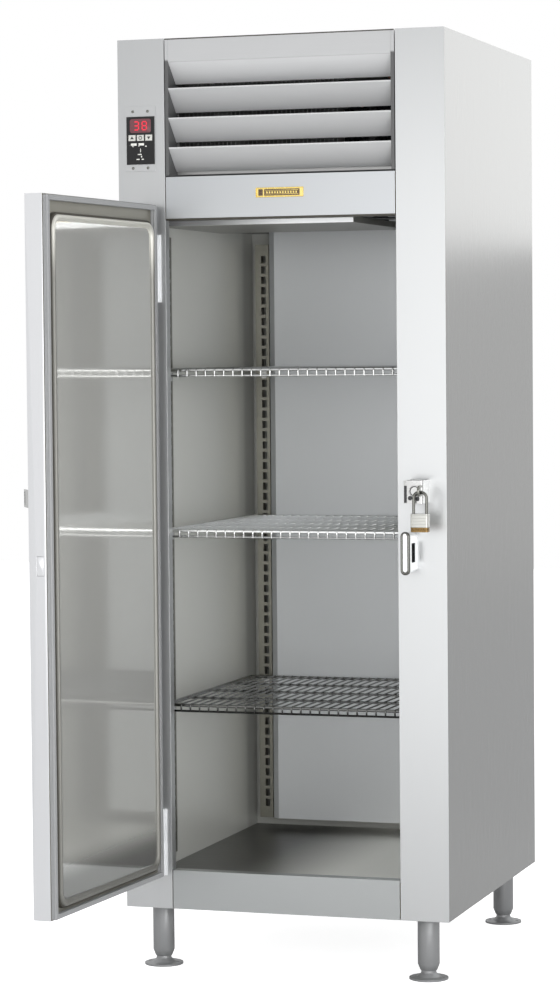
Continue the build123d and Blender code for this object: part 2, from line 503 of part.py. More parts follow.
# ======================= Door =======================
door_turn = radians(DOOR_ANGLE)
door_frame = Plane(origin=(HINGE_X, HINGE_Y, 0), x_dir=(cos(door_turn), -sin(door_turn), 0),
                   z_dir=(0, 0, 1))
DOOR_MID_U, DOOR_MID_Z = (DOOR_U0 + DOOR_U1) / 2, (DOOR_Z0 + DOOR_Z1) / 2
PLUG_MID_U, PLUG_MID_Z = (U_OPEN0 + U_OPEN1) / 2, (Z_SILL + Z_OPEN) / 2
PLUG_W, PLUG_TALL = U_OPEN1 - U_OPEN0 - 2 * PLUG_IN, Z_OPEN - Z_SILL - 2 * PLUG_IN
DIKE_W, PLUG_CORNER = 12.0, 32.0


def inward(u, v, z):
    """A plane facing into the cabinet at depth v: its X runs back along the door, its Y is up."""
    return Plane(origin=door_frame.from_local_coords((u, v, z)), x_dir=-door_frame.x_dir,
                 z_dir=door_frame.y_dir)


def plug_slab(v0, v1, inset, mode=Mode.ADD):
    """The raised middle of the door's inner face between two depths, inset all round."""
    with BuildSketch(inward(PLUG_MID_U, v0, PLUG_MID_Z)) as outline:
        RectangleRounded(PLUG_W - 2 * inset, PLUG_TALL - 2 * inset, PLUG_CORNER - inset * 0.6)
    extrude(outline.sketch, amount=v1 - v0, mode=mode)


with BuildPart(door_frame) as door_pan:
    block((DOOR_U0, DOOR_U1), (-DOOR_T, 0), (DOOR_Z0, DOOR_Z1))
    block((DOOR_U0 + SHEET, DOOR_U1 - SHEET), (-DOOR_T + SHEET, 1), (DOOR_Z0 + SHEET, DOOR_Z1 - SHEET),
          mode=Mode.SUBTRACT)
    block((DOOR_U1 - 3, DOOR_U1 + 1), (-22.5, -5.5), (HANDLE_Z - 20.5, HANDLE_Z + 20.5),
          mode=Mode.SUBTRACT)
    rod(SPINDLE_R + GAP, (LEVER_U, -DOOR_T - 1, HANDLE_Z), (LEVER_U, -DOOR_T + 3, HANDLE_Z),
        mode=Mode.SUBTRACT)
save(door_pan.part, "door_pan")

with BuildPart(door_frame) as door_liner:
    block((DOOR_U0 + SHEET + 0.2, DOOR_U1 - SHEET - 0.2), (-SHEET, 0),
          (DOOR_Z0 + SHEET + 0.2, DOOR_Z1 - SHEET - 0.2))
    plug_slab(0, PLUG_RAISE, 0)
    plug_slab(-SHEET - 1, FIELD_RAISE - SHEET, SHEET, mode=Mode.SUBTRACT)
    with BuildSketch(inward(PLUG_MID_U, FIELD_RAISE - SHEET, PLUG_MID_Z)):
        RectangleRounded(PLUG_W - 2 * SHEET, PLUG_TALL - 2 * SHEET, PLUG_CORNER - SHEET)
        RectangleRounded(PLUG_W - 2 * DIKE_W + 2 * SHEET, PLUG_TALL - 2 * DIKE_W + 2 * SHEET,
                         PLUG_CORNER - DIKE_W / 2, mode=Mode.SUBTRACT)
    extrude(amount=PLUG_RAISE - FIELD_RAISE, mode=Mode.SUBTRACT)
    plug_slab(FIELD_RAISE, PLUG_RAISE + 1, DIKE_W, mode=Mode.SUBTRACT)
save(door_liner.part, "door_liner")

CASE_U, CASE_V, CASE_Z = (DOOR_U1 - 130, DOOR_U1 - SHEET), (-26.0, -2.5), (HANDLE_Z - 33, HANDLE_Z + 33)
FOAM_V0, FOAM_V1 = -DOOR_T + SHEET, -SHEET
with BuildPart(door_frame) as door_insulation:
    block((DOOR_U0 + SHEET, DOOR_U1 - SHEET), (FOAM_V0, FOAM_V1), (DOOR_Z0 + SHEET, DOOR_Z1 - SHEET))
    plug_slab(FOAM_V1, FIELD_RAISE - SHEET - 0.1, SHEET + 0.2)
    block(CASE_U, CASE_V, CASE_Z, mode=Mode.SUBTRACT)
    rod(SPINDLE_R + GAP, (LEVER_U, FOAM_V0 - 1, HANDLE_Z), (LEVER_U, CASE_V[0] + 1, HANDLE_Z),
        mode=Mode.SUBTRACT)
save(door_insulation.part, "door_insulation")

GASKET_U, GASKET_Z = (DOOR_U0 + 3, U_OPEN1 + GASKET_W), (Z_SILL - GASKET_W, DOOR_Z1 - 3)
with BuildPart(door_frame) as door_gasket:
    block(GASKET_U, (0, GASKET_T), GASKET_Z)
    block((GASKET_U[0] + GASKET_W, GASKET_U[1] - GASKET_W), (-1, GASKET_T + 1),
          (GASKET_Z[0] + GASKET_W, GASKET_Z[1] - GASKET_W), mode=Mode.SUBTRACT)
save(door_gasket.part, "door_gasket")

# ---- Edge latch with its lever ----
BOLT_V, BOLT_Z, BOLT_U0 = (-22.0, -6.0), (HANDLE_Z - 20, HANDLE_Z + 20), DOOR_U1 - 58
with BuildPart(door_frame) as latch_case:
    block(CASE_U, CASE_V, CASE_Z)
    rod(ROSE_R, (LEVER_U, -DOOR_T - 6, HANDLE_Z), (LEVER_U, -DOOR_T, HANDLE_Z))
    block((BOLT_U0 - 1, CASE_U[1] + 1), (BOLT_V[0] - GAP, BOLT_V[1] + GAP),
          (BOLT_Z[0] - GAP, BOLT_Z[1] + GAP), mode=Mode.SUBTRACT)
    rod(SPINDLE_R + GAP, (LEVER_U, -DOOR_T - 7, HANDLE_Z), (LEVER_U, CASE_V[1] - 4, HANDLE_Z),
        mode=Mode.SUBTRACT)
save(latch_case.part, "latch_case")

with BuildPart(door_frame) as latch_bolt:
    block((BOLT_U0, DOOR_U1 - 0.4), BOLT_V, BOLT_Z)
save(latch_bolt.part, "latch_bolt")

with BuildPart(door_frame) as latch_lever:
    rod(SPINDLE_R, (LEVER_U, -DOOR_T - 20, HANDLE_Z), (LEVER_U, CASE_V[1] - 6, HANDLE_Z))
    rod(13, (LEVER_U, -DOOR_T - 36, HANDLE_Z), (LEVER_U, -DOOR_T - 6.3, HANDLE_Z))
    block((LEVER_U - LEVER_LEN, LEVER_U), (-DOOR_T - 36, -DOOR_T - 25), (HANDLE_Z - 9, HANDLE_Z + 9))
save(latch_lever.part, "latch_lever")

# ---- Door hinges ----
BARREL_R, PIN_R, BARREL_LEN = 7.5, 4.0, 151.0
BARRELS = (216.0, 1513.0)
LEAF_T = 2.0
hinge_frame = Plane(origin=(HINGE_X, HINGE_Y, 0))
with BuildPart(hinge_frame) as hinge_cabinet_leaves:
    for z0 in BARRELS:
        half = z0 + BARREL_LEN / 2
        rod(BARREL_R, (0, 0, z0), (0, 0, half - 0.2))
        rod(PIN_R, (0, 0, z0), (0, 0, z0 + BARREL_LEN - 2))
        block((-4, 4), (3, 12 - LEAF_T), (z0, half - 0.2))
        block((-31, 10.5), (12 - LEAF_T, 12), (z0, z0 + BARREL_LEN))
save(hinge_cabinet_leaves.part, "hinge_cabinet_leaves")

with BuildPart(door_frame) as hinge_door_leaves:
    for z0 in BARRELS:
        low, high = z0 + BARREL_LEN / 2 + 0.2, z0 + BARREL_LEN
        rod(BARREL_R, (0, 0, low), (0, 0, high))
        block((DOOR_U0 - LEAF_T, DOOR_U0), (-36, 0), (low, high))
        block((3, DOOR_U0 - 1), (-5, 0), (low, high))
        rod(PIN_R + 0.05, (0, 0, low - 1), (0, 0, high - 1.5), mode=Mode.SUBTRACT)
save(hinge_door_leaves.part, "hinge_door_leaves")

# ---- Hasp on the door ----
KNUCKLE_R, HASP_PIN_R = 3.5, 1.5
HASP_Z0, HASP_Z1 = HASP_Z - HASP_H / 2, HASP_Z + HASP_H / 2
with BuildPart(door_frame) as hasp_base:
    block((HASP_U - 38, HASP_U), (-DOOR_T - HASP_T, -DOOR_T), (HASP_Z0, HASP_Z1))
    block((HASP_U - 6, HASP_U + 5), (-DOOR_T - 10, -DOOR_T + 0), (HASP_Z0 + 9.7, HASP_Z1 - 9.7),
          mode=Mode.SUBTRACT)
    for z0 in (HASP_Z0, HASP_Z1 - 9.7):
        rod(KNUCKLE_R, (HASP_U, HASP_V, z0), (HASP_U, HASP_V, z0 + 9.7))
    rod(HASP_PIN_R, (HASP_U, HASP_V, HASP_Z0), (HASP_U, HASP_V, HASP_Z1))
save(hasp_base.part, "hasp_base")

flap_turn = radians(DOOR_ANGLE + HASP_ANGLE)
flap_frame = Plane(origin=door_frame.from_local_coords((HASP_U, HASP_V, 0)),
                   x_dir=(cos(flap_turn), -sin(flap_turn), 0), z_dir=(0, 0, 1))
STAPLE_U = STAPLE_X - HINGE_X - HASP_U
with BuildPart(flap_frame) as hasp_flap:
    block((4.2, HASP_LEN), (-HASP_T, 0), (HASP_Z0, HASP_Z1))
    block((0, 5), (-HASP_T, 0), (HASP_Z0 + 10, HASP_Z1 - 10))
    rod(KNUCKLE_R, (0, 0, HASP_Z0 + 10), (0, 0, HASP_Z1 - 10))
    rod(HASP_PIN_R + 0.05, (0, 0, HASP_Z0), (0, 0, HASP_Z1), mode=Mode.SUBTRACT)
    block((STAPLE_U - 4.5, STAPLE_U + 4.5), (-5, 5), (HASP_Z - 14, HASP_Z + 14), mode=Mode.SUBTRACT)
save(hasp_flap.part, "hasp_flap")

# ======================= Lock hardware on the right stile =======================
BRACKET_X, BRACKET_Z = (297.0, 340.5), (1067.0, 1117.0)
PLATE_FRONT = Y_FRONT - STAPLE_PROUD
STAPLE_LEG = 14.0
with BuildPart() as lock_staple:
    block(BRACKET_X, (PLATE_FRONT, PLATE_FRONT + 3), BRACKET_Z)
    for x in (BRACKET_X[0], BRACKET_X[1] - 3):
        block((x, x + 3), (PLATE_FRONT, Y_FRONT), BRACKET_Z)
    with BuildLine(Plane(origin=(STAPLE_X, PLATE_FRONT, HASP_Z), x_dir=(0, -1, 0), z_dir=(1, 0, 0))) as loop:
        leg = Line((-1, -STAPLE_HALF), (STAPLE_LEG, -STAPLE_HALF))
        bend = CenterArc((STAPLE_LEG, 0), STAPLE_HALF, -90, 180)
        Line(bend @ 1, (-1, STAPLE_HALF))
    with BuildSketch(Plane(origin=leg @ 0, z_dir=leg % 0)):
        Circle(STAPLE_WIRE)
    sweep(path=loop.line)
save(lock_staple.part, "lock_staple")

KEEPER_PROUD, KEEPER_X, KEEPER_Z = 57.0, 299.5, 957.5
KEEPER_W, KEEPER_H = 21.5, 95.0
with BuildPart() as latch_keeper:
    with BuildSketch(Plane((KEEPER_X + 1, Y_FRONT, KEEPER_Z), x_dir=(1, 0, 0), z_dir=(0, -1, 0))) as foot:
        RectangleRounded(23.5, 85, 8)
    with BuildSketch(Plane((KEEPER_X, Y_FRONT - KEEPER_PROUD + 8, KEEPER_Z), x_dir=(1, 0, 0),
                           z_dir=(0, -1, 0))) as neck:
        RectangleRounded(KEEPER_W, KEEPER_H, 10.4)
    loft()
    extrude(neck.sketch, amount=8)
    fillet(latch_keeper.faces().sort_by(Axis.Y)[0].edges(), 3)
    block((KEEPER_X - 20, KEEPER_X + 40), (Y_FRONT - 40.5, Y_FRONT - 15.5), (HANDLE_Z - 21.5, HANDLE_Z + 21.5),
          mode=Mode.SUBTRACT)
save(latch_keeper.part, "latch_keeper")

# ---- Padlock hanging from the staple ----
SHACKLE_Y = PLATE_FRONT - 8.0
APEX_Z = HASP_Z - STAPLE_HALF + STAPLE_WIRE + GAP + SHACKLE_R
ARCH_Z = APEX_Z - SHACKLE_BEND
LONG_LEG_END, SHORT_LEG_END = PADLOCK_TOP - 29.0, PADLOCK_TOP - 12.0
with BuildPart() as padlock_shackle:
    with BuildLine(Plane(origin=(STAPLE_X, SHACKLE_Y, 0), x_dir=(1, 0, 0), z_dir=(0, -1, 0))) as hoop:
        first = Line((-SHACKLE_HALF, SHORT_LEG_END), (-SHACKLE_HALF, ARCH_Z))
        near = CenterArc((SHACKLE_BEND - SHACKLE_HALF, ARCH_Z), SHACKLE_BEND, 180, -90)
        top = Line(near @ 1, (SHACKLE_HALF - SHACKLE_BEND, APEX_Z))
        far = CenterArc((SHACKLE_HALF - SHACKLE_BEND, ARCH_Z), SHACKLE_BEND, 90, -90)
        Line(far @ 1, (SHACKLE_HALF, LONG_LEG_END))
    with BuildSketch(Plane(origin=first @ 0, z_dir=first % 0)):
        Circle(SHACKLE_R)
    sweep(path=hoop.line)
save(padlock_shackle.part, "padlock_shackle")

with BuildPart() as padlock_body:
    block((STAPLE_X - PADLOCK_W / 2, STAPLE_X + PADLOCK_W / 2),
          (SHACKLE_Y - PADLOCK_T / 2, SHACKLE_Y + PADLOCK_T / 2), (PADLOCK_TOP - PADLOCK_H, PADLOCK_TOP))
    fillet(padlock_body.edges().filter_by(Axis.Z), 5)
    chamfer(padlock_body.faces().sort_by(Axis.Z)[-1].edges(), 1)
    chamfer(padlock_body.faces().sort_by(Axis.Z)[0].edges(), 1)
    rod(SHACKLE_R + GAP, (STAPLE_X - SHACKLE_HALF, SHACKLE_Y, SHORT_LEG_END - 11),
        (STAPLE_X - SHACKLE_HALF, SHACKLE_Y, PADLOCK_TOP + 1), mode=Mode.SUBTRACT)
    rod(SHACKLE_R + GAP, (STAPLE_X + SHACKLE_HALF, SHACKLE_Y, LONG_LEG_END - 1),
        (STAPLE_X + SHACKLE_HALF, SHACKLE_Y, PADLOCK_TOP + 1), mode=Mode.SUBTRACT)
save(padlock_body.part, "padlock_body")

# ======================= Legs and levelling feet =======================
LEG_LOW, TAPER_Z, STUD_R, STUD_BORE = 20.0, 34.0, 8.0, 8.06
with BuildPart() as leg_tubes:
    with BuildSketch(Plane.XZ.offset(-LEG_Y)):
        with BuildLine():
            Polyline((LEG_X + STUD_BORE, LEG_LOW), (LEG_X + 19, LEG_LOW), (LEG_X + LEG_R, TAPER_Z),
                     (LEG_X + LEG_R, Z_BASE), (LEG_X + 22.5, Z_BASE), (LEG_X + 22.5, 88),
                     (LEG_X + STUD_BORE, 88), close=True)
        make_face()
    revolve(axis=Axis((LEG_X, LEG_Y, 0), (0, 0, 1)))
    mirror(about=Plane.XZ)
    mirror(about=Plane.YZ)
save(leg_tubes.part, "leg_tubes")

for x, y, name in ((-LEG_X, -LEG_Y, "foot_front_left"), (LEG_X, -LEG_Y, "foot_front_right"),
                   (-LEG_X, LEG_Y, "foot_rear_left"), (LEG_X, LEG_Y, "foot_rear_right")):
    with BuildPart() as foot:
        with BuildSketch(Plane.XZ.offset(-y)):
            with BuildLine():
                Polyline((x, 0), (x + FOOT_R, 0), (x + FOOT_R, 4), (x + 27, 5), (x + 17, 14),
                         (x + 17, LEG_LOW - GAP), (x + STUD_R, LEG_LOW - GAP), (x + STUD_R, 112),
                         (x, 112), close=True)
            make_face()
        revolve(axis=Axis((x, y, 0), (0, 0, 1)))
        with Locations((x, y, 0)):
            with GridLocations(2 * FOOT_HOLE_OFFSET, 0, 2, 1):
                Cylinder(FOOT_HOLE_R, 40, mode=Mode.SUBTRACT)
    save(foot.part, name)
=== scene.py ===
"""Looks, lights and camera for the reach-in refrigerator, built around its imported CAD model."""

from math import cos, pi, radians, sin

import bmesh
import bpy
from mathutils import Matrix, Vector


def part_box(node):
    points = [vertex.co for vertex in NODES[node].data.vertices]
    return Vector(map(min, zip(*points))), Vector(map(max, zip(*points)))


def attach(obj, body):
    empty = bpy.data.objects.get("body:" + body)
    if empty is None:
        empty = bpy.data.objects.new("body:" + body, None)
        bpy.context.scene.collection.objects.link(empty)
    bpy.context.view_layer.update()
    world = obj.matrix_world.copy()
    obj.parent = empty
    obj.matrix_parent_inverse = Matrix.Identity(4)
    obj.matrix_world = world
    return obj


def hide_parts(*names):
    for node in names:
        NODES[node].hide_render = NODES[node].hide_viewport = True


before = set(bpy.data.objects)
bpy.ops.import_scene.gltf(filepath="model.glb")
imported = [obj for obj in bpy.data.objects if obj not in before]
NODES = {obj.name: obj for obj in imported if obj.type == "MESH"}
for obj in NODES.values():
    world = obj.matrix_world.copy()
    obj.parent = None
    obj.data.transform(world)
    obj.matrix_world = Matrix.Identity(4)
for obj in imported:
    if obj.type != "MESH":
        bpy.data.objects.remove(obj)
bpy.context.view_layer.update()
MM = 0.001

# ---- Dimensions shared with the CAD model, in millimetres ----
FRONT = -412.5                      # the cabinet's front face
HINGE = (-290.5, -424.5)            # the door's axis
DOOR_ANGLE, DOOR_T = 93.5, 40.0
LATCH_Z, HASP_Z, LEVER_U = 958.0, 1095.0, 463.0
STAPLE_X, STAPLE_PLATE_Y = 336.5, FRONT - 55.0
SHACKLE_Y, SHACKLE_HALF, SHACKLE_BEND, SHACKLE_R = STAPLE_PLATE_Y - 8.0, 14.5, 12.5, 3.25
EYE_HALF, EYE_WIRE, EYE_GAP = 9.5, 3.0, 0.3
APEX_Z = HASP_Z - EYE_HALF + EYE_WIRE + EYE_GAP + SHACKLE_R
ARCH_Z = APEX_Z - SHACKLE_BEND
PADLOCK_TOP, PADLOCK_W, PADLOCK_H, PADLOCK_T = 1045.5, 40.0, 40.0, 20.0
SHELVES = {"shelf_upper": 1360.0, "shelf_middle": 995.0, "shelf_lower": 597.0}
# The shelves use one wire in lit and shaded copies: painted light on the middle shelf, painted shade on the
# lower one.
SHELF_LOOKS = {"shelf_upper": "wire", "shelf_middle": "wire_bright", "shelf_lower": "wire_dark"}
SHELF_HALF, SHELF_Y0, SHELF_Y1 = 306.0, -350.0, 268.0
WIRE_COUNT, WIRE_PITCH = 27, 22.0
RIM_R, CROSS_R, LOWER_R, WIRE_R = 3.4, 2.9, 2.5, 1.95


# ======================= Materials =======================
TINY = 1e-4
CLOUD_SCALE = 3.1                   # slow tone change, in cycles per metre
TONE_LOW, TONE_HIGH = 0.25, 0.75    # the part of the noise's range that the tone is spread over
GLOSS_LOW, GLOSS_HIGH = 0.3, 0.7    # the same for the roughness


def socket(node, name, value):
    node.inputs[name].default_value = value


def surface(name, colour, rough, metallic=0.0, grain=(60, 60, 60), tone=0.03, rough_vary=0.06,
            bump=0.0, bump_size=0.0002, mottle=0.0, painted_light_fades=(), **extra):
    """A Principled material whose tone, roughness and bump come from noise stretched by grain.

    grain is the noise's frequency along X, Y and Z in cycles per metre, so a low number along
    one axis draws brush lines that way. mottle adds slow, cloudy change of tone. Each fade is an
    axis, two places along it in metres and the share of the colour that is left past the second; it
    paints shade into the base colour where the share is below 1 and paints light where it is above.
    """
    mat = bpy.data.materials.new(name)
    mat.use_nodes = True
    tree = mat.node_tree
    add, link = tree.nodes.new, tree.links.new
    shader = tree.nodes["Principled BSDF"]
    cloud_share = mottle / max(tone, TINY)
    socket(shader, "Metallic", metallic)
    for key, value in extra.items():
        socket(shader, key, value)
    where = add("ShaderNodeTexCoord")
    stretch = add("ShaderNodeMapping")
    socket(stretch, "Scale", grain)
    link(where.outputs["Object"], stretch.inputs["Vector"])
    noise = add("ShaderNodeTexNoise")
    socket(noise, "Scale", 1.0)
    socket(noise, "Detail", 4.0)
    link(stretch.outputs["Vector"], noise.inputs["Vector"])
    cloud = add("ShaderNodeTexNoise")
    socket(cloud, "Scale", CLOUD_SCALE)
    socket(cloud, "Detail", 2.0)
    link(where.outputs["Object"], cloud.inputs["Vector"])
    both = add("ShaderNodeMath")
    both.operation = "MULTIPLY_ADD"
    both.inputs[1].default_value = cloud_share
    link(cloud.outputs["Fac"], both.inputs[0])
    link(noise.outputs["Fac"], both.inputs[2])
    spread = add("ShaderNodeMapRange")
    socket(spread, "From Min", TONE_LOW)
    socket(spread, "From Max", TONE_HIGH + cloud_share)
    link(both.outputs[0], spread.inputs["Value"])
    ramp = add("ShaderNodeMix")
    ramp.data_type = "RGBA"
    vary = tone + mottle
    ramp.inputs["A"].default_value = [*(max(c * (1 - vary), 0.0) for c in colour), 1]
    ramp.inputs["B"].default_value = [*(min(c * (1 + vary), 1.0) for c in colour), 1]
    link(spread.outputs["Result"], ramp.inputs["Factor"])
    colour_out = ramp.outputs["Result"]
    # Painted shade and painted light: each fade scales the base colour along one object axis.
    for axis, start, stop, left in painted_light_fades:
        split_axes = add("ShaderNodeSeparateXYZ")
        link(where.outputs["Object"], split_axes.inputs[0])
        fall = add("ShaderNodeMapRange")
        fall.interpolation_type = "SMOOTHSTEP"
        for name_in, value in (("From Min", start), ("From Max", stop), ("To Min", 1.0), ("To Max", left)):
            socket(fall, name_in, value)
        link(split_axes.outputs[axis], fall.inputs["Value"])
        dim = add("ShaderNodeVectorMath")
        dim.operation = "SCALE"
        link(colour_out, dim.inputs[0])
        link(fall.outputs["Result"], dim.inputs["Scale"])
        colour_out = dim.outputs[0]
    link(colour_out, shader.inputs["Base Color"])
    gloss = add("ShaderNodeMapRange")
    socket(gloss, "From Min", GLOSS_LOW)
    socket(gloss, "From Max", GLOSS_HIGH)
    socket(gloss, "To Min", max(rough - rough_vary, 0.02))
    socket(gloss, "To Max", min(rough + rough_vary, 1.0))
    link(noise.outputs["Fac"], gloss.inputs["Value"])
    link(gloss.outputs["Result"], shader.inputs["Roughness"])
    if bump:
        relief = add("ShaderNodeBump")
        socket(relief, "Strength", bump)
        socket(relief, "Distance", bump_size)
        link(noise.outputs["Fac"], relief.inputs["Height"])
        link(relief.outputs["Normal"], shader.inputs["Normal"])
    return mat


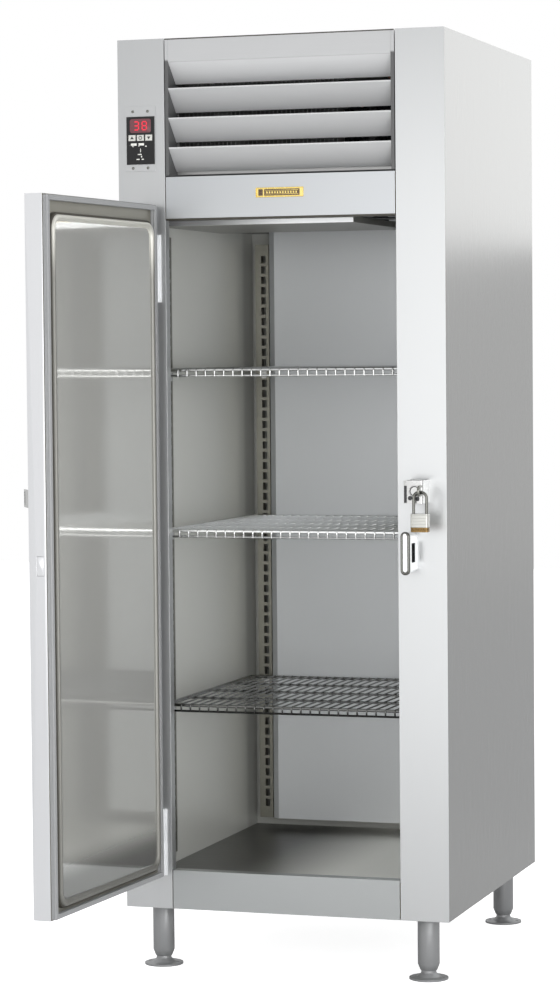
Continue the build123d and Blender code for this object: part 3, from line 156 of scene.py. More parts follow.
UPRIGHT, ACROSS, FRONT_BACK = (1400, 1400, 9), (9, 1400, 1400), (1400, 9, 1400)
STEEL = dict(metallic=0.86, tone=0.010, rough_vary=0.02, bump=0.015, mottle=0.006)
M = {
    # Painted light: the stiles' base colour grows lighter below 0.9 m, to 1.09 times it below 0.4 m.
    "stile": surface("stile_steel", (0.55, 0.558, 0.562), 0.32, grain=UPRIGHT,
                     painted_light_fades=[("Z", 0.9, 0.4, 1.09)], **STEEL),
    "side": surface("side_steel", (0.305, 0.307, 0.302), 0.27, metallic=0.86, grain=UPRIGHT, tone=0.003,
                    rough_vary=0.005, mottle=0.003),
    "level": surface("level_steel", (0.51, 0.525, 0.54), 0.34, grain=ACROSS, **STEEL),
    "sill": surface("sill_steel", (0.465, 0.48, 0.48), 0.34, grain=ACROSS, **STEEL),
    "top": surface("top_steel", (0.50, 0.50, 0.495), 0.42, grain=FRONT_BACK, **STEEL),
    # Painted light: the door is a lighter copy of the stile steel, full only at its free edge and 0.70 of it
    # elsewhere.
    "door": surface("door_steel", (0.80, 0.805, 0.82), 0.32, grain=UPRIGHT,
                    painted_light_fades=[("Y", -0.992, -0.986, 0.70)], **STEEL),
    # Painted light and painted shade: the blades' base colour is lighter above 2.0 m and darker again above
    # 2.05 m.
    "louvre": surface("louvre_metal", (0.61, 0.615, 0.62), 0.5, metallic=0.2, grain=ACROSS, tone=0.03,
                      bump=0.05, mottle=0.012, painted_light_fades=[("Z", 1.993, 2.003, 1.3), ("Z", 2.047, 2.051, 0.67)]),
    # Painted shade: the louvre frame's base colour falls to 0.22 of it below 2.05 m.
    "louvre_frame": surface("louvre_frame_metal", (0.515, 0.52, 0.525), 0.5, metallic=0.2, grain=ACROSS,
                            tone=0.03, bump=0.05, painted_light_fades=[("Z", 2.056, 2.050, 0.22)]),
    # Painted shade: the liner field's base colour darkens towards the door's lower end, to 0.40 of it below
    # 0.285 m.
    "door_liner": surface("door_liner_metal", (0.96, 0.96, 0.925), 0.07, metallic=0.7, grain=UPRIGHT,
                          tone=0.02, rough_vary=0.02, bump=0.01, mottle=0.02,
                          painted_light_fades=[("Z", 1.20, 0.50, 0.90), ("Z", 0.36, 0.285, 0.40)]),
    # The raised ring is a shaded copy of the liner's metal, with a painted highlight near the door's top: its
    # base colour falls to 0.32 of it below 1.55 m.
    "door_dike": surface("door_dike_metal", (0.68, 0.67, 0.615), 0.4, metallic=0.35, grain=UPRIGHT, tone=0.03,
                         bump=0.03, mottle=0.03, painted_light_fades=[("Z", 1.68, 1.55, 0.32)]),
    # Painted shade: the flange round the liner is a dark olive copy of the liner's metal.
    "door_flange": surface("door_flange_metal", (0.27, 0.262, 0.225), 0.45, metallic=0.35, grain=UPRIGHT,
                           tone=0.03, bump=0.03, mottle=0.03),
    # Painted shade: a near-black strip material set in gaps to draw their shadow lines; under the header it
    # also stands for a dark breaker strip.
    "sealant": surface("shade_line_dark", (0.05, 0.046, 0.036), 0.5, grain=(200, 200, 200), tone=0.1, bump=0.1),
    # Painted shade: the liner's base colour darkens towards the rear corner past Y 0.292 m and above 1.696 m
    # near the ceiling.
    "liner": surface("liner_metal", (0.64, 0.645, 0.61), 0.36, metallic=0.25, grain=UPRIGHT, tone=0.02,
                     bump=0.03, mottle=0.02, painted_light_fades=[("Y", 0.262, 0.292, 0.74), ("Z", 1.690, 1.696, 0.2)]),
    # Painted light: the duct's base colour is 1.12 times lighter above 1.68 m and below 0.45 m.
    "duct": surface("duct_metal", (0.55, 0.565, 0.58), 0.4, metallic=0.4, grain=UPRIGHT, tone=0.02,
                    bump=0.03, mottle=0.02, painted_light_fades=[("Z", 1.40, 1.68, 1.12), ("Z", 0.75, 0.45, 1.12)]),
    # Painted shade: the floor pan's base colour darkens towards the left, to 0.13 of it past X -0.17 m.
    "floor": surface("floor_metal", (0.97, 0.96, 0.90), 0.38, metallic=0.75, grain=ACROSS, tone=0.03,
                     bump=0.03, mottle=0.02, painted_light_fades=[("X", 0.13, -0.17, 0.13)]),
    # Painted shade: the pilasters' steel gets a dark base colour for the shade in the recess beside them.
    "pilaster": surface("pilaster_metal", (0.22, 0.215, 0.185), 0.35, metallic=0.85, grain=UPRIGHT,
                        tone=0.04, bump=0.04),
    "ceiling": surface("ceiling_metal", (0.36, 0.36, 0.345), 0.45, metallic=0.7, grain=ACROSS, tone=0.05,
                       mottle=0.03),
    "wire": surface("shelf_wire", (0.52, 0.525, 0.52), 0.16, metallic=1.0, grain=(90, 90, 90), tone=0.08,
                    bump=0.06),
    # Painted light on the middle shelf's wire and painted shade on the lower shelf's wire, each also darker
    # along its front edge.
    "wire_bright": surface("shelf_wire_bright", (0.88, 0.89, 0.885), 0.2, metallic=0.85, grain=(90, 90, 90),
                           tone=0.06, bump=0.06, painted_light_fades=[("Z", 0.9945, 0.988, 0.42)]),
    "wire_dark": surface("shelf_wire_dark", (0.15, 0.152, 0.146), 0.16, metallic=1.0, grain=(90, 90, 90),
                         tone=0.1, bump=0.06, painted_light_fades=[("Z", 0.5965, 0.590, 0.15)]),
    # Painted light and painted shade: a near-white strip colour for the light on the housing's front, darker
    # to the left past X -0.22 m.
    "strip": surface("housing_front", (0.95, 0.96, 0.97), 0.35, metallic=0.3, grain=ACROSS, tone=0.02,
                     bump=0.02, painted_light_fades=[("X", 0.05, -0.22, 0.25)]),
    "plate": surface("plated_steel", (0.52, 0.52, 0.515), 0.3, metallic=0.95, grain=(300, 300, 300),
                     tone=0.05, bump=0.06, mottle=0.02),
    "leg": surface("leg_metal", (0.30, 0.304, 0.308), 0.42, metallic=0.45, grain=UPRIGHT, tone=0.06,
                   bump=0.06, mottle=0.03),
    "chrome": surface("chrome_plate", (0.55, 0.55, 0.545), 0.1, metallic=1.0, grain=(200, 200, 200),
                      tone=0.02, rough_vary=0.03, bump=0.02),
    "hinge": surface("hinge_steel", (0.90, 0.91, 0.92), 0.35, metallic=0.35, grain=UPRIGHT, tone=0.03,
                     bump=0.04, mottle=0.02),
    "satin": surface("keeper_satin", (0.80, 0.81, 0.815), 0.35, metallic=0.5, grain=(150, 150, 150),
                     tone=0.03, bump=0.04),
    # Painted shade: a near-black copy of chrome standing for dark reflections on the shackle and the keeper's
    # rim.
    "dark_chrome": surface("dark_chrome", (0.13, 0.13, 0.12), 0.16, metallic=1.0, grain=(200, 200, 200),
                           tone=0.08, bump=0.03),
    # Painted reflection: the keeper's front inlay and rivet are a near-white copy of its chrome for the
    # bright reflection in its face.
    "pearl": surface("keeper_face", (0.93, 0.94, 0.95), 0.25, metallic=0.25, grain=(120, 120, 120),
                     tone=0.02, bump=0.02),
    "dark_steel": surface("dark_steel", (0.22, 0.22, 0.20), 0.25, metallic=0.9, grain=(200, 200, 200),
                          tone=0.1, bump=0.05),
    "laminate": surface("laminated_steel", (0.60, 0.60, 0.57), 0.34, metallic=0.9, grain=(30, 30, 1500),
                        tone=0.1, bump=0.1, mottle=0.03),
    "brass": surface("brass", (0.24, 0.155, 0.065), 0.26, metallic=0.95, grain=(300, 300, 60), tone=0.12,
                     bump=0.06, mottle=0.05),
    "brass_dark": surface("brass_shadow", (0.10, 0.065, 0.03), 0.35, metallic=0.9, grain=(300, 300, 60),
                          tone=0.1, bump=0.05),
    "gold": surface("gilt_rim", (0.80, 0.62, 0.22), 0.24, metallic=0.95, grain=(200, 200, 200), tone=0.1,
                    bump=0.05),
    "badge_dark": surface("badge_enamel", (0.10, 0.06, 0.03), 0.3, grain=(150, 150, 150), tone=0.2,
                          bump=0.05),
    "gasket": surface("gasket_vinyl", (0.33, 0.335, 0.34), 0.5, grain=(200, 200, 200), tone=0.05,
                      bump=0.15, mottle=0.04),
    "black": surface("black_face", (0.006, 0.006, 0.007), 0.14, grain=(400, 400, 400), tone=0.3,
                     bump=0.02),
    "black_plastic": surface("black_plastic", (0.018, 0.018, 0.02), 0.4, grain=(500, 500, 500), tone=0.2,
                             bump=0.1),
    "key": surface("key_cap", (0.66, 0.66, 0.62), 0.4, grain=(600, 600, 600), tone=0.05, bump=0.08),
    "print": surface("print_white", (0.85, 0.85, 0.80), 0.5, grain=(300, 300, 300), tone=0.03),
    "ink": surface("print_black", (0.01, 0.01, 0.01), 0.5, grain=(300, 300, 300), tone=0.1),
    "lens": surface("display_lens", (0.16, 0.055, 0.065), 0.12, grain=(300, 300, 300), tone=0.1),
    "foam": surface("rigid_foam", (0.80, 0.74, 0.52), 0.85, grain=(500, 500, 500), tone=0.1, bump=0.5,
                    mottle=0.1),
    "grey_plastic": surface("grey_plastic", (0.38, 0.39, 0.40), 0.45, grain=(500, 500, 500), tone=0.06,
                            bump=0.1),
    # Painted shade: the coil fins get a near-black base colour so they read as shade in the louvre gaps.
    "fins": surface("fin_stock", (0.20, 0.20, 0.195), 0.4, metallic=0.9, grain=(200, 200, 200), tone=0.08,
                    bump=0.1),
    "copper": surface("copper_tube", (0.68, 0.34, 0.20), 0.3, metallic=1.0, grain=(150, 150, 150),
                      tone=0.12, bump=0.08, mottle=0.08),
    "enamel": surface("black_enamel", (0.014, 0.014, 0.016), 0.28, grain=(200, 200, 200), tone=0.2,
                      bump=0.08),
    "motor": surface("motor_enamel", (0.16, 0.17, 0.18), 0.4, grain=(200, 200, 200), tone=0.1, bump=0.1),
    "fan": surface("fan_metal", (0.52, 0.53, 0.54), 0.35, metallic=0.9, grain=(150, 150, 150), tone=0.06,
                   bump=0.05),
}
glow = M["glow"] = surface("display_digits", (0.6, 0.02, 0.04), 0.3, grain=(300, 300, 300), tone=0.1)
glow_shader = glow.node_tree.nodes["Principled BSDF"]
socket(glow_shader, "Emission Color", (0.9, 0.02, 0.06, 1))
socket(glow_shader, "Emission Strength", 0.5)

NODE_LOOKS = {
    "side": ("left_side_panel", "right_side_panel"),
    "top": ("back_panel", "top_panel", "base_panel", "machine_deck"),
    "stile": ("left_stile", "right_stile", "control_plate"),
    "level": ("header_panel",),
    "sill": ("sill_panel",),
    "door": ("door_pan", "latch_bolt"),
    "louvre": ("louvre_blades",),
    "louvre_frame": ("louvre_frame",),
    "liner": ("inner_liner",),
    "duct": ("duct_panel",),
    "floor": ("floor_pan",),
    "pilaster": ("pilasters",),
    "ceiling": ("evaporator_housing",),
    "plate": ("shelf_clips", "hasp_base", "hasp_flap", "latch_case", "condenser_fan_shroud"),
    "hinge": ("hinge_cabinet_leaves", "hinge_door_leaves"),
    "leg": ("leg_tubes", "foot_front_left", "foot_front_right", "foot_rear_left", "foot_rear_right"),
    "foam": ("insulation", "door_insulation"),
    "black_plastic": ("evaporator_fan_shroud",),
    "grey_plastic": ("electrical_box", "condensate_pan"),
    "black": ("control_face",),
    "key": ("key_left", "key_middle", "key_right"),
    "fins": ("evaporator_coil", "condenser_coil"),
    "copper": ("refrigerant_lines",),
    "enamel": ("compressor",),
    "motor": ("fan_motors",),
    "fan": ("evaporator_fan", "condenser_fan"),
    "wire": ("shelf_upper", "shelf_middle", "shelf_lower"),
    "gasket": ("door_gasket",),
    "door_liner": ("door_liner",),
    "chrome": ("latch_keeper", "latch_lever", "padlock_shackle"),
    "laminate": ("padlock_body",),
    "gold": ("badge",),
}
# Bevel widths in millimetres for the sheet-metal edges of these CAD nodes.
SOFT_EDGES = {
    0.5: ("left_side_panel", "right_side_panel", "left_stile", "right_stile", "door_pan", "sill_panel",
          "header_panel", "louvre_frame", "control_plate", "hasp_flap", "hasp_base",
          "evaporator_housing", "hinge_door_leaves", "hinge_cabinet_leaves", "condensate_pan", "latch_bolt"),
    1.2: ("leg_tubes", "foot_front_left", "foot_front_right", "foot_rear_left", "foot_rear_right",
          "electrical_box"),
}
for look, names in NODE_LOOKS.items():
    for node_name in names:
        mesh = NODES[node_name].data
        mesh.materials.clear()
        mesh.materials.append(M[look])
WELD_GAP, EDGE_ANGLE = 1e-5, radians(40)
for width, names in SOFT_EDGES.items():
    for node_name in names:
        node = NODES[node_name]
        weld = node.modifiers.new("weld", "WELD")
        weld.merge_threshold = WELD_GAP
        soft = node.modifiers.new("soft_edges", "BEVEL")
        soft.width, soft.segments = width * MM, 2
        soft.limit_method, soft.angle_limit = "ANGLE", EDGE_ANGLE
        soft.harden_normals = True


# ======================= Mesh helpers =======================
def frame_matrix(origin, turn_deg):
    """A frame standing at origin (mm), its X turned clockwise from the row's +X as seen from above."""
    return Matrix.Translation((origin[0] * MM, origin[1] * MM, 0)) @ Matrix.Rotation(
        -radians(turn_deg), 4, "Z")


ROW = Matrix.Identity(4)
DOOR = frame_matrix(HINGE, DOOR_ANGLE)


def piece(name, verts, faces, look, body, place=ROW, slot=None, replaces=(), smooth=35, bevel=0.0):
    """A mesh from points in millimetres, placed, shaded, given its material and put on its body."""
    mesh = bpy.data.meshes.new(name)
    mesh.from_pydata([tuple(c * MM for c in v) for v in verts], [], faces)
    bm = bmesh.new()
    bm.from_mesh(mesh)
    bmesh.ops.remove_doubles(bm, verts=bm.verts, dist=1e-7)
    bmesh.ops.recalc_face_normals(bm, faces=bm.faces)
    if bevel:
        edges = [e for e in bm.edges if len(e.link_faces) == 2 and e.calc_face_angle() > EDGE_ANGLE]
        bmesh.ops.bevel(bm, geom=edges, offset=bevel * MM, segments=2, affect="EDGES",
                        profile=0.5, clamp_overlap=True)
    bm.to_mesh(mesh)
    bm.free()
    mesh.transform(place)
    mesh.shade_smooth()
    mesh.set_sharp_from_angle(angle=radians(smooth))
    mesh.materials.append(M[look])
    obj = bpy.data.objects.new(name, mesh)
    bpy.context.scene.collection.objects.link(obj)
    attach(obj, body)
    if replaces:
        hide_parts(*replaces)
    return obj


def box_mm(node_name):
    """A CAD node's lowest and highest corners in millimetres."""
    return [[c / MM for c in corner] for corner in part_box(node_name)]


def block_data(lo, hi):
    """The corners and faces of a box between two corners."""
    verts = [(x, y, z) for z in (lo[2], hi[2]) for y in (lo[1], hi[1]) for x in (lo[0], hi[0])]
    faces = [(0, 1, 3, 2), (4, 6, 7, 5), (0, 4, 5, 1), (2, 3, 7, 6), (0, 2, 6, 4), (1, 5, 7, 3)]
    return verts, faces


def join(*parts):
    """Several (verts, faces) as one."""
    verts, faces = [], []
    for v, f in parts:
        base = len(verts)
        verts += v
        faces += [tuple(i + base for i in face) for face in f]
    return verts, faces


def loft(loops, ring=False, caps=True):
    """Skins a list of loops with equal point counts; ring joins the last loop to the first."""
    n = len(loops[0])
    verts = [p for loop in loops for p in loop]
    faces = []
    pairs = list(zip(range(len(loops) - 1), range(1, len(loops))))
    if ring:
        pairs.append((len(loops) - 1, 0))
    for a, b in pairs:
        for i in range(n):
            j = (i + 1) % n
            faces.append((a * n + i, a * n + j, b * n + j, b * n + i))
    if caps and not ring:
        faces.append(tuple(reversed(range(n))))
        faces.append(tuple(range((len(loops) - 1) * n, len(loops) * n)))
    return verts, faces


def rounded(width, height, radius, steps=8):
    """A rounded rectangle about the origin as (a, b) points; radius 0 keeps the same point count."""
    radius = max(min(radius, width / 2 - 0.01, height / 2 - 0.01), 0.02)
    points = []
    for k, (sx, sy) in enumerate(((1, 1), (-1, 1), (-1, -1), (1, -1))):
        for s in range(steps + 1):
            a = (k + s / steps) * pi / 2
            points.append((sx * (width / 2 - radius) + radius * cos(a),
                           sy * (height / 2 - radius) + radius * sin(a)))
    return points


def lathe(profile, centre, axis="z", steps=48):
    """Turns (radius, height) points about an axis through centre."""
    loops = []
    for r, h in profile:
        r = max(r, 0.01)
        loop = []
        for s in range(steps):
            a = 2 * pi * s / steps
            p = {"z": (r * cos(a), r * sin(a), h), "y": (r * cos(a), h, r * sin(a)),
                 "x": (h, r * cos(a), r * sin(a))}[axis]
            loop.append(tuple(c + d for c, d in zip(centre, p)))
        loops.append(loop)
    return loft(loops)


def tube(points, radius, steps=16, closed=False):
    """A round tube along points, with flat ends."""
    pts = [Vector(p) for p in points]
    loops, side = [], None
    for i, p in enumerate(pts):
        if closed:
            ahead = pts[(i + 1) % len(pts)] - pts[i - 1]
        else:
            ahead = pts[min(i + 1, len(pts) - 1)] - pts[max(i - 1, 0)]
        ahead.normalize()
        if side is None:
            side = ahead.orthogonal().normalized()
        side = (side - ahead * side.dot(ahead)).normalized()
        other = ahead.cross(side)
        loops.append([tuple(p + (side * cos(2 * pi * s / steps) + other * sin(2 * pi * s / steps)) * radius)
                      for s in range(steps)])
    return loft(loops, ring=closed)


def arc(centre, radius, start, stop, steps, plane):
    """Points on an arc, degrees from the first axis of plane towards the second."""
    a_axis, b_axis = Vector(plane[0]), Vector(plane[1])
    points = []
    for s in range(steps + 1):
        a = radians(start + (stop - start) * s / steps)
        points.append(tuple(Vector(centre) + a_axis * radius * cos(a) + b_axis * radius * sin(a)))
    return points


# ======================= Door: liner and gasket =======================
LINER_MID, LINER_W, LINER_H, LINER_R = (290.5, 964.0), 517.0, 1452.0, 32.0
LINER_CORNER = 0.62                 # how much of an inset the ring's corner radius loses
DOOR_MID = (290.5, 973.0)
FLANGE_W, FLANGE_H, FLANGE_R, FLANGE_BACK, FLANGE_HOLE = 562.4, 1515.2, 1.0, -1.2, -2.9
GASKET_W, GASKET_H, GASKET_R = 559.0, 1512.0, 2.0


def door_loop(width, height, radius, depth, mid=LINER_MID):
    """A rounded rectangle in the door's plane, depth in front of its back face."""
    return [(mid[0] + a, depth, mid[1] + b) for a, b in rounded(width, height, radius, 10)]


def liner_loop(inset, depth):
    """The outline of the liner's raised ring, inset and raised by so much."""
    return door_loop(LINER_W - 2 * inset, LINER_H - 2 * inset, LINER_R - inset * LINER_CORNER, depth)


flange_loops = [door_loop(FLANGE_W, FLANGE_H, FLANGE_R, d, DOOR_MID) for d in (FLANGE_BACK, 0.0)]
flange_loops += [liner_loop(FLANGE_HOLE, 0.0), liner_loop(FLANGE_HOLE, FLANGE_BACK)]
piece("door_liner_flange", *loft(flange_loops, ring=True), "door_flange", "door", DOOR, "liner_metal",
      ("door_liner",), 42)
DIKE = ((-3.0, FLANGE_BACK), (-3.0, 0.0), (-0.8, 0.5), (0.1, 2.0), (0.3, 9.2), (0.8, 11.8), (1.8, 13.9),
        (3.2, 15.1), (5.0, 15.5), (7.0, 15.3), (8.8, 14.4), (10.2, 12.8), (11.2, 11.1), (12.3, 9.9),
        (14.0, 9.5), (14.0, FLANGE_BACK))
piece("door_liner_dike", *loft([liner_loop(*p) for p in DIKE], ring=True), "door_dike", "door", DOOR,
      "liner_metal", smooth=42)
# Painted shade: a near-black bead between the flange and the raised ring draws the shadow in the gap there.
SHADE_BEAD = ((-4.2, 0.0), (-4.2, 8.6), (-3.4, 10.0), (-1.4, 10.3), (0.3, 9.6), (0.4, 0.0))
piece("door_liner_shade_bead", *loft([liner_loop(*p) for p in SHADE_BEAD], ring=True), "sealant", "door", DOOR,
      "gasket_rubber", smooth=42)
FIELD = ((13.9, 8.4), (13.9, 9.4), (14.4, 9.55), (18.0, 9.5))
piece("door_liner_field", *loft([liner_loop(*p) for p in FIELD]), "door_liner", "door", DOOR,
      "liner_metal", smooth=42)

GASKET_PROFILE = ((0.9, 0.05), (0.3, 1.4), (1.3, 2.7), (0.2, 4.2), (1.3, 5.7), (0.1, 7.0), (0.0, 10.4),
                  (0.9, 11.6), (10.1, 11.6), (11.0, 10.4), (10.9, 7.0), (9.7, 5.7), (10.8, 4.2),
                  (9.7, 2.7), (10.7, 1.4), (10.1, 0.05))
gasket_loops = [door_loop(GASKET_W - 2 * i, GASKET_H - 2 * i, GASKET_R, d, DOOR_MID)
                for i, d in GASKET_PROFILE]
piece("door_gasket_profile", *loft(gasket_loops, ring=True), "gasket", "door", DOOR, "gasket_rubber",
      ("door_gasket",), 50)

# ======================= Badge and controls =======================
BADGE = ((-54.0, 57.0), (1742.0, 1764.0))
badge_mid = (sum(BADGE[0]) / 2, sum(BADGE[1]) / 2)


def front_loop(mid, width, height, radius, y, steps=4):
    """A rounded rectangle in a plane facing the front, about mid (x, z)."""
    return [(mid[0] + a, y, mid[1] + b) for a, b in rounded(width, height, radius, steps)]


verts, faces = loft([front_loop(badge_mid, w, h, r, FRONT - d) for w, h, r, d in (
    (111, 22, 1.5, 0), (111, 22, 1.5, 2.0), (110, 21, 1.5, 2.8), (107.5, 18.5, 1.2, 2.8),
    (106.5, 17.5, 1.0, 1.6), (106.5, 17.5, 1.0, 1.0))])
piece("badge_rim", verts, faces, "gold", "cabinet", slot="badge_metal", replaces=("badge",), smooth=30)
verts, faces = join(*[loft([front_loop((badge_mid[0] + x, badge_mid[1]), w, h, 0.8, FRONT - d)
                            for w, h, d in ((w0, 14.5, 1.0), (w0, 14.5, 1.9), (w0 - 0.6, 13.9, 2.2))])
                      for x, w0 in ((-44.0, 10.0), (5.5, 82.0))])
piece("badge_panels", verts, faces, "badge_dark", "cabinet", slot="badge_metal", smooth=30)
rules = [block_data((badge_mid[0] - 33, FRONT - 2.5, badge_mid[1] + z - 0.5),
                    (badge_mid[0] + 44, FRONT - 2.15, badge_mid[1] + z + 0.5)) for z in (-4.2, 4.2)]
bars = [block_data((badge_mid[0] - 31 + i * 6.2, FRONT - 2.5, badge_mid[1] - 2.4),
                   (badge_mid[0] - 27.4 + i * 6.2, FRONT - 2.15, badge_mid[1] + 2.4)) for i in range(12)]
piece("badge_inlay", *join(*rules, *bars), "gold", "cabinet", slot="badge_metal", smooth=30, bevel=0.12)

CONTROL_PLATE_T, CONTROL_FACE_T = 1.5, 2.5
PLATE_Y = FRONT - CONTROL_PLATE_T
FACE_Y = PLATE_Y - CONTROL_FACE_T
DISPLAY = ((-350.0, -299.5), (1893.5, 1924.5))
display_mid = (sum(DISPLAY[0]) / 2, sum(DISPLAY[1]) / 2)
verts, faces = loft([front_loop(display_mid, w, h, r, FACE_Y + d) for w, h, r, d in (
    (50.5, 31, 5, 1.0), (50.5, 31, 5, 0.15), (49.7, 30.2, 4.6, 0.02))])
piece("display_lens", verts, faces, "lens", "cabinet", slot="black_plastic", smooth=30)
SEGMENTS = {"a": (0, 1, 0), "b": (1, 0.5, 1), "c": (1, -0.5, 1), "d": (0, -1, 0), "e": (-1, -0.5, 1),
            "f": (-1, 0.5, 1), "g": (0, 0, 0)}
digits = []
for x, lit in ((-9.5, "abgcd"), (9.5, "abcdefg")):
    for s in lit:
        sx, sz, upright = SEGMENTS[s]
        cx, cz = display_mid[0] + x + sx * 5.2, display_mid[1] + sz * 9.0
        w, h = (1.3, 3.6) if upright else (4.3, 1.3)
        digits.append(block_data((cx - w, FACE_Y - 0.12, cz - h), (cx + w, FACE_Y + 0.05, cz + h)))
piece("display_digits", *join(*digits), "glow", "cabinet", slot="black_plastic", smooth=30)

KEY_Z, KEY_MID, KEY_PITCH = 1882.0, -324.75, 20.0
KEY_Y = FACE_Y - 0.6
marks = {
    "key_left": [(-4, -2.5), (4, -2.5), (0, 3.6)],
    "key_right": [(-4, 2.5), (0, -3.6), (4, 2.5)],
}
for name, shape in marks.items():
    x = KEY_MID + (-KEY_PITCH if name == "key_left" else KEY_PITCH)
    loops = [[(x + a, y, KEY_Z + b) for a, b in shape] for y in (KEY_Y + 0.02, KEY_Y - 0.15)]
    piece(name + "_mark", *loft(loops), "ink", name, slot="key_plastic", smooth=30)
ring_points = arc((KEY_MID, KEY_Y - 0.05, KEY_Z), 3.6, 0, 337.5, 15, ((1, 0, 0), (0, 0, 1)))
piece("key_middle_mark", *tube(ring_points, 0.75, 8, closed=True), "ink", "key_middle",
      slot="key_plastic", smooth=50)
# The plain marks printed under the keys: each one's x, width, z and height.
legend = [(-16, 14, -6.5, 5), (3, 11, -6.5, 5), (-3.5, 2.0, -7.5, 7), (13, 4, -11, 2), (-18, 3, -11, 2),
          (0, 1.5, -20, 8), (-2, 9, -29, 2), (2.5, 2.5, -34, 4), (-6, 7, -40, 2.4), (5, 5, -40, 2.4)]
prints = []
for x, w, z, h in legend:
    cx, cz = KEY_MID + x, KEY_Z - 8.0 + z
    prints.append(block_data((cx - w / 2, FACE_Y - 0.1, cz - h / 2), (cx + w / 2, FACE_Y + 0.05, cz + h / 2)))
piece("control_legend", *join(*prints), "print", "cabinet", slot="black_plastic", smooth=30)

SCREW_X, SCREW_Z = (-343.5, -308.0), (1814.5, 1941.0)
SCREW_HEAD = [(0.0, 0.3), (3.25, 0.3), (3.3, -0.6), (2.9, -1.3), (1.8, -1.75), (0.0, -1.85)]
CROSS_BAR = ((-2.0, -0.35), (2.0, -0.35), (2.0, 0.35), (-2.0, 0.35))
screw_parts = []
for x in SCREW_X:
    for z, turn in zip(SCREW_Z, (0.9, 0.4)):
        screw_parts.append(lathe(SCREW_HEAD, (x, PLATE_Y, z), "y", 24))
        for a in (turn, turn + pi / 2):
            c, s = cos(a), sin(a)
            ring = [(x + u * c - v * s, z + u * s + v * c) for u, v in CROSS_BAR]
            screw_parts.append(loft([[(px, PLATE_Y + d, pz) for px, pz in ring] for d in (-2.0, -1.2)]))
piece("control_screw_heads", *join(*screw_parts), "dark_steel", "cabinet", slot="steel_bright",
      replaces=("control_screws",), smooth=35)

# ======================= Lock staple and padlock =======================
PLATE_X, PLATE_Z = (297.0, 340.5), (1067.0, 1117.0)
BRACKET_T, BRACKET_BEND = 3.0, 4.5
BOSS_R, BOSS_GROOVE_R = 13.5, 10.0


def u_channel():
    """The staple's bracket: a front plate with its two side walls, bent from one strip."""
    (x0, x1), t, r = PLATE_X, BRACKET_T, BRACKET_BEND
    inner = r - t
    y_bend = STAPLE_PLATE_Y + r
    outer_turn = [radians(d) for d in range(0, 91, 15)]
    inner_turn = [radians(d) for d in range(0, 91, 30)]
    outline = [(x0, FRONT)]
    outline += [(x0 + r - r * cos(a), y_bend - r * sin(a)) for a in outer_turn]
    outline += [(x1 - r + r * sin(a), y_bend - r * cos(a)) for a in outer_turn]
    outline += [(x1, FRONT), (x1 - t, FRONT)]
    outline += [(x1 - r + inner * cos(a), y_bend - inner * sin(a)) for a in inner_turn]
    outline += [(x0 + r - inner * sin(a), y_bend - inner * cos(a)) for a in inner_turn]
    outline += [(x0 + t, FRONT)]
    return loft([[(x, y, z) for x, y in outline] for z in PLATE_Z])


BOSS = (STAPLE_X - 14.0, STAPLE_PLATE_Y, HASP_Z - 1.0)
boss = lathe([(0.0, 0.5), (BOSS_R, 0.5), (BOSS_R, -0.4), (12.8, -1.3), (11.4, -1.5), (10.6, -0.9),
              (0.0, -0.9)], BOSS, "y", 40)
EYE_Y = [STAPLE_PLATE_Y + d for d in (2, -7, -14)]      # its root, its straight part and its bend
eye = [(STAPLE_X, y, HASP_Z - EYE_HALF) for y in EYE_Y[:2]]
eye += arc((STAPLE_X, EYE_Y[2], HASP_Z), EYE_HALF, -90, 90, 18, ((0, -1, 0), (0, 0, 1)))
eye += [(STAPLE_X, y, HASP_Z + EYE_HALF) for y in (EYE_Y[1], EYE_Y[0])]
piece("lock_staple_bracket", *join(u_channel(), boss), "plate", "cabinet", slot="steel_bright",
      replaces=("lock_staple",), smooth=30)
piece("lock_staple_eye", *tube(eye, EYE_WIRE, 20), "dark_steel", "cabinet", slot="steel_bright", smooth=60)


def plate_inlay(x0, x1, z0, z1, radius):
    """A rounded inlay set in the staple's plate, standing a little proud of it; its black colour is painted
    shade.
    """
    mid = ((x0 + x1) / 2, (z0 + z1) / 2)
    return loft([front_loop(mid, x1 - x0 - 2 * i, z1 - z0 - 2 * i, radius - i, STAPLE_PLATE_Y + d, 6)
                 for i, d in ((0.0, 0.6), (0.0, -0.15), (0.4, -0.45), (1.2, -0.5))])


# Painted shade: black inlays and a black groove ring draw the shade of slots and a groove on the staple's
# plate.
inlays = [plate_inlay(298.2, 304.6, 1068.5, 1106.0, 1.5), plate_inlay(307.0, 316.5, 1074.0, 1083.5, 4.0),
          plate_inlay(323.5, 333.0, 1072.5, 1082.5, 4.0)]
groove_line = arc((BOSS[0], STAPLE_PLATE_Y - 1.15, BOSS[2]), BOSS_GROOVE_R, 0, 350, 35,
                  ((1, 0, 0), (0, 0, 1)))
groove = tube(groove_line, 0.75, 8, closed=True)
piece("lock_staple_shade_inlays", *join(*inlays, groove), "enamel", "cabinet", slot="steel_bright", smooth=40)

hoop = [(STAPLE_X - SHACKLE_HALF, SHACKLE_Y, z) for z in (PADLOCK_TOP - 12, PADLOCK_TOP, ARCH_Z - 1)]
for side, start in ((-1, 180), (1, 90)):
    hoop += arc((STAPLE_X + side * (SHACKLE_HALF - SHACKLE_BEND), SHACKLE_Y, ARCH_Z), SHACKLE_BEND,
                start, start - 90, 12, ((1, 0, 0), (0, 0, 1)))
hoop += [(STAPLE_X + SHACKLE_HALF, SHACKLE_Y, z) for z in (ARCH_Z - 1, PADLOCK_TOP, PADLOCK_TOP - 29)]
# The shackle's near-black chrome is painted shade.
piece("padlock_hoop", *tube(hoop, SHACKLE_R, 24), "dark_chrome", "shackle", slot="chrome",
      replaces=("padlock_shackle",), smooth=60)

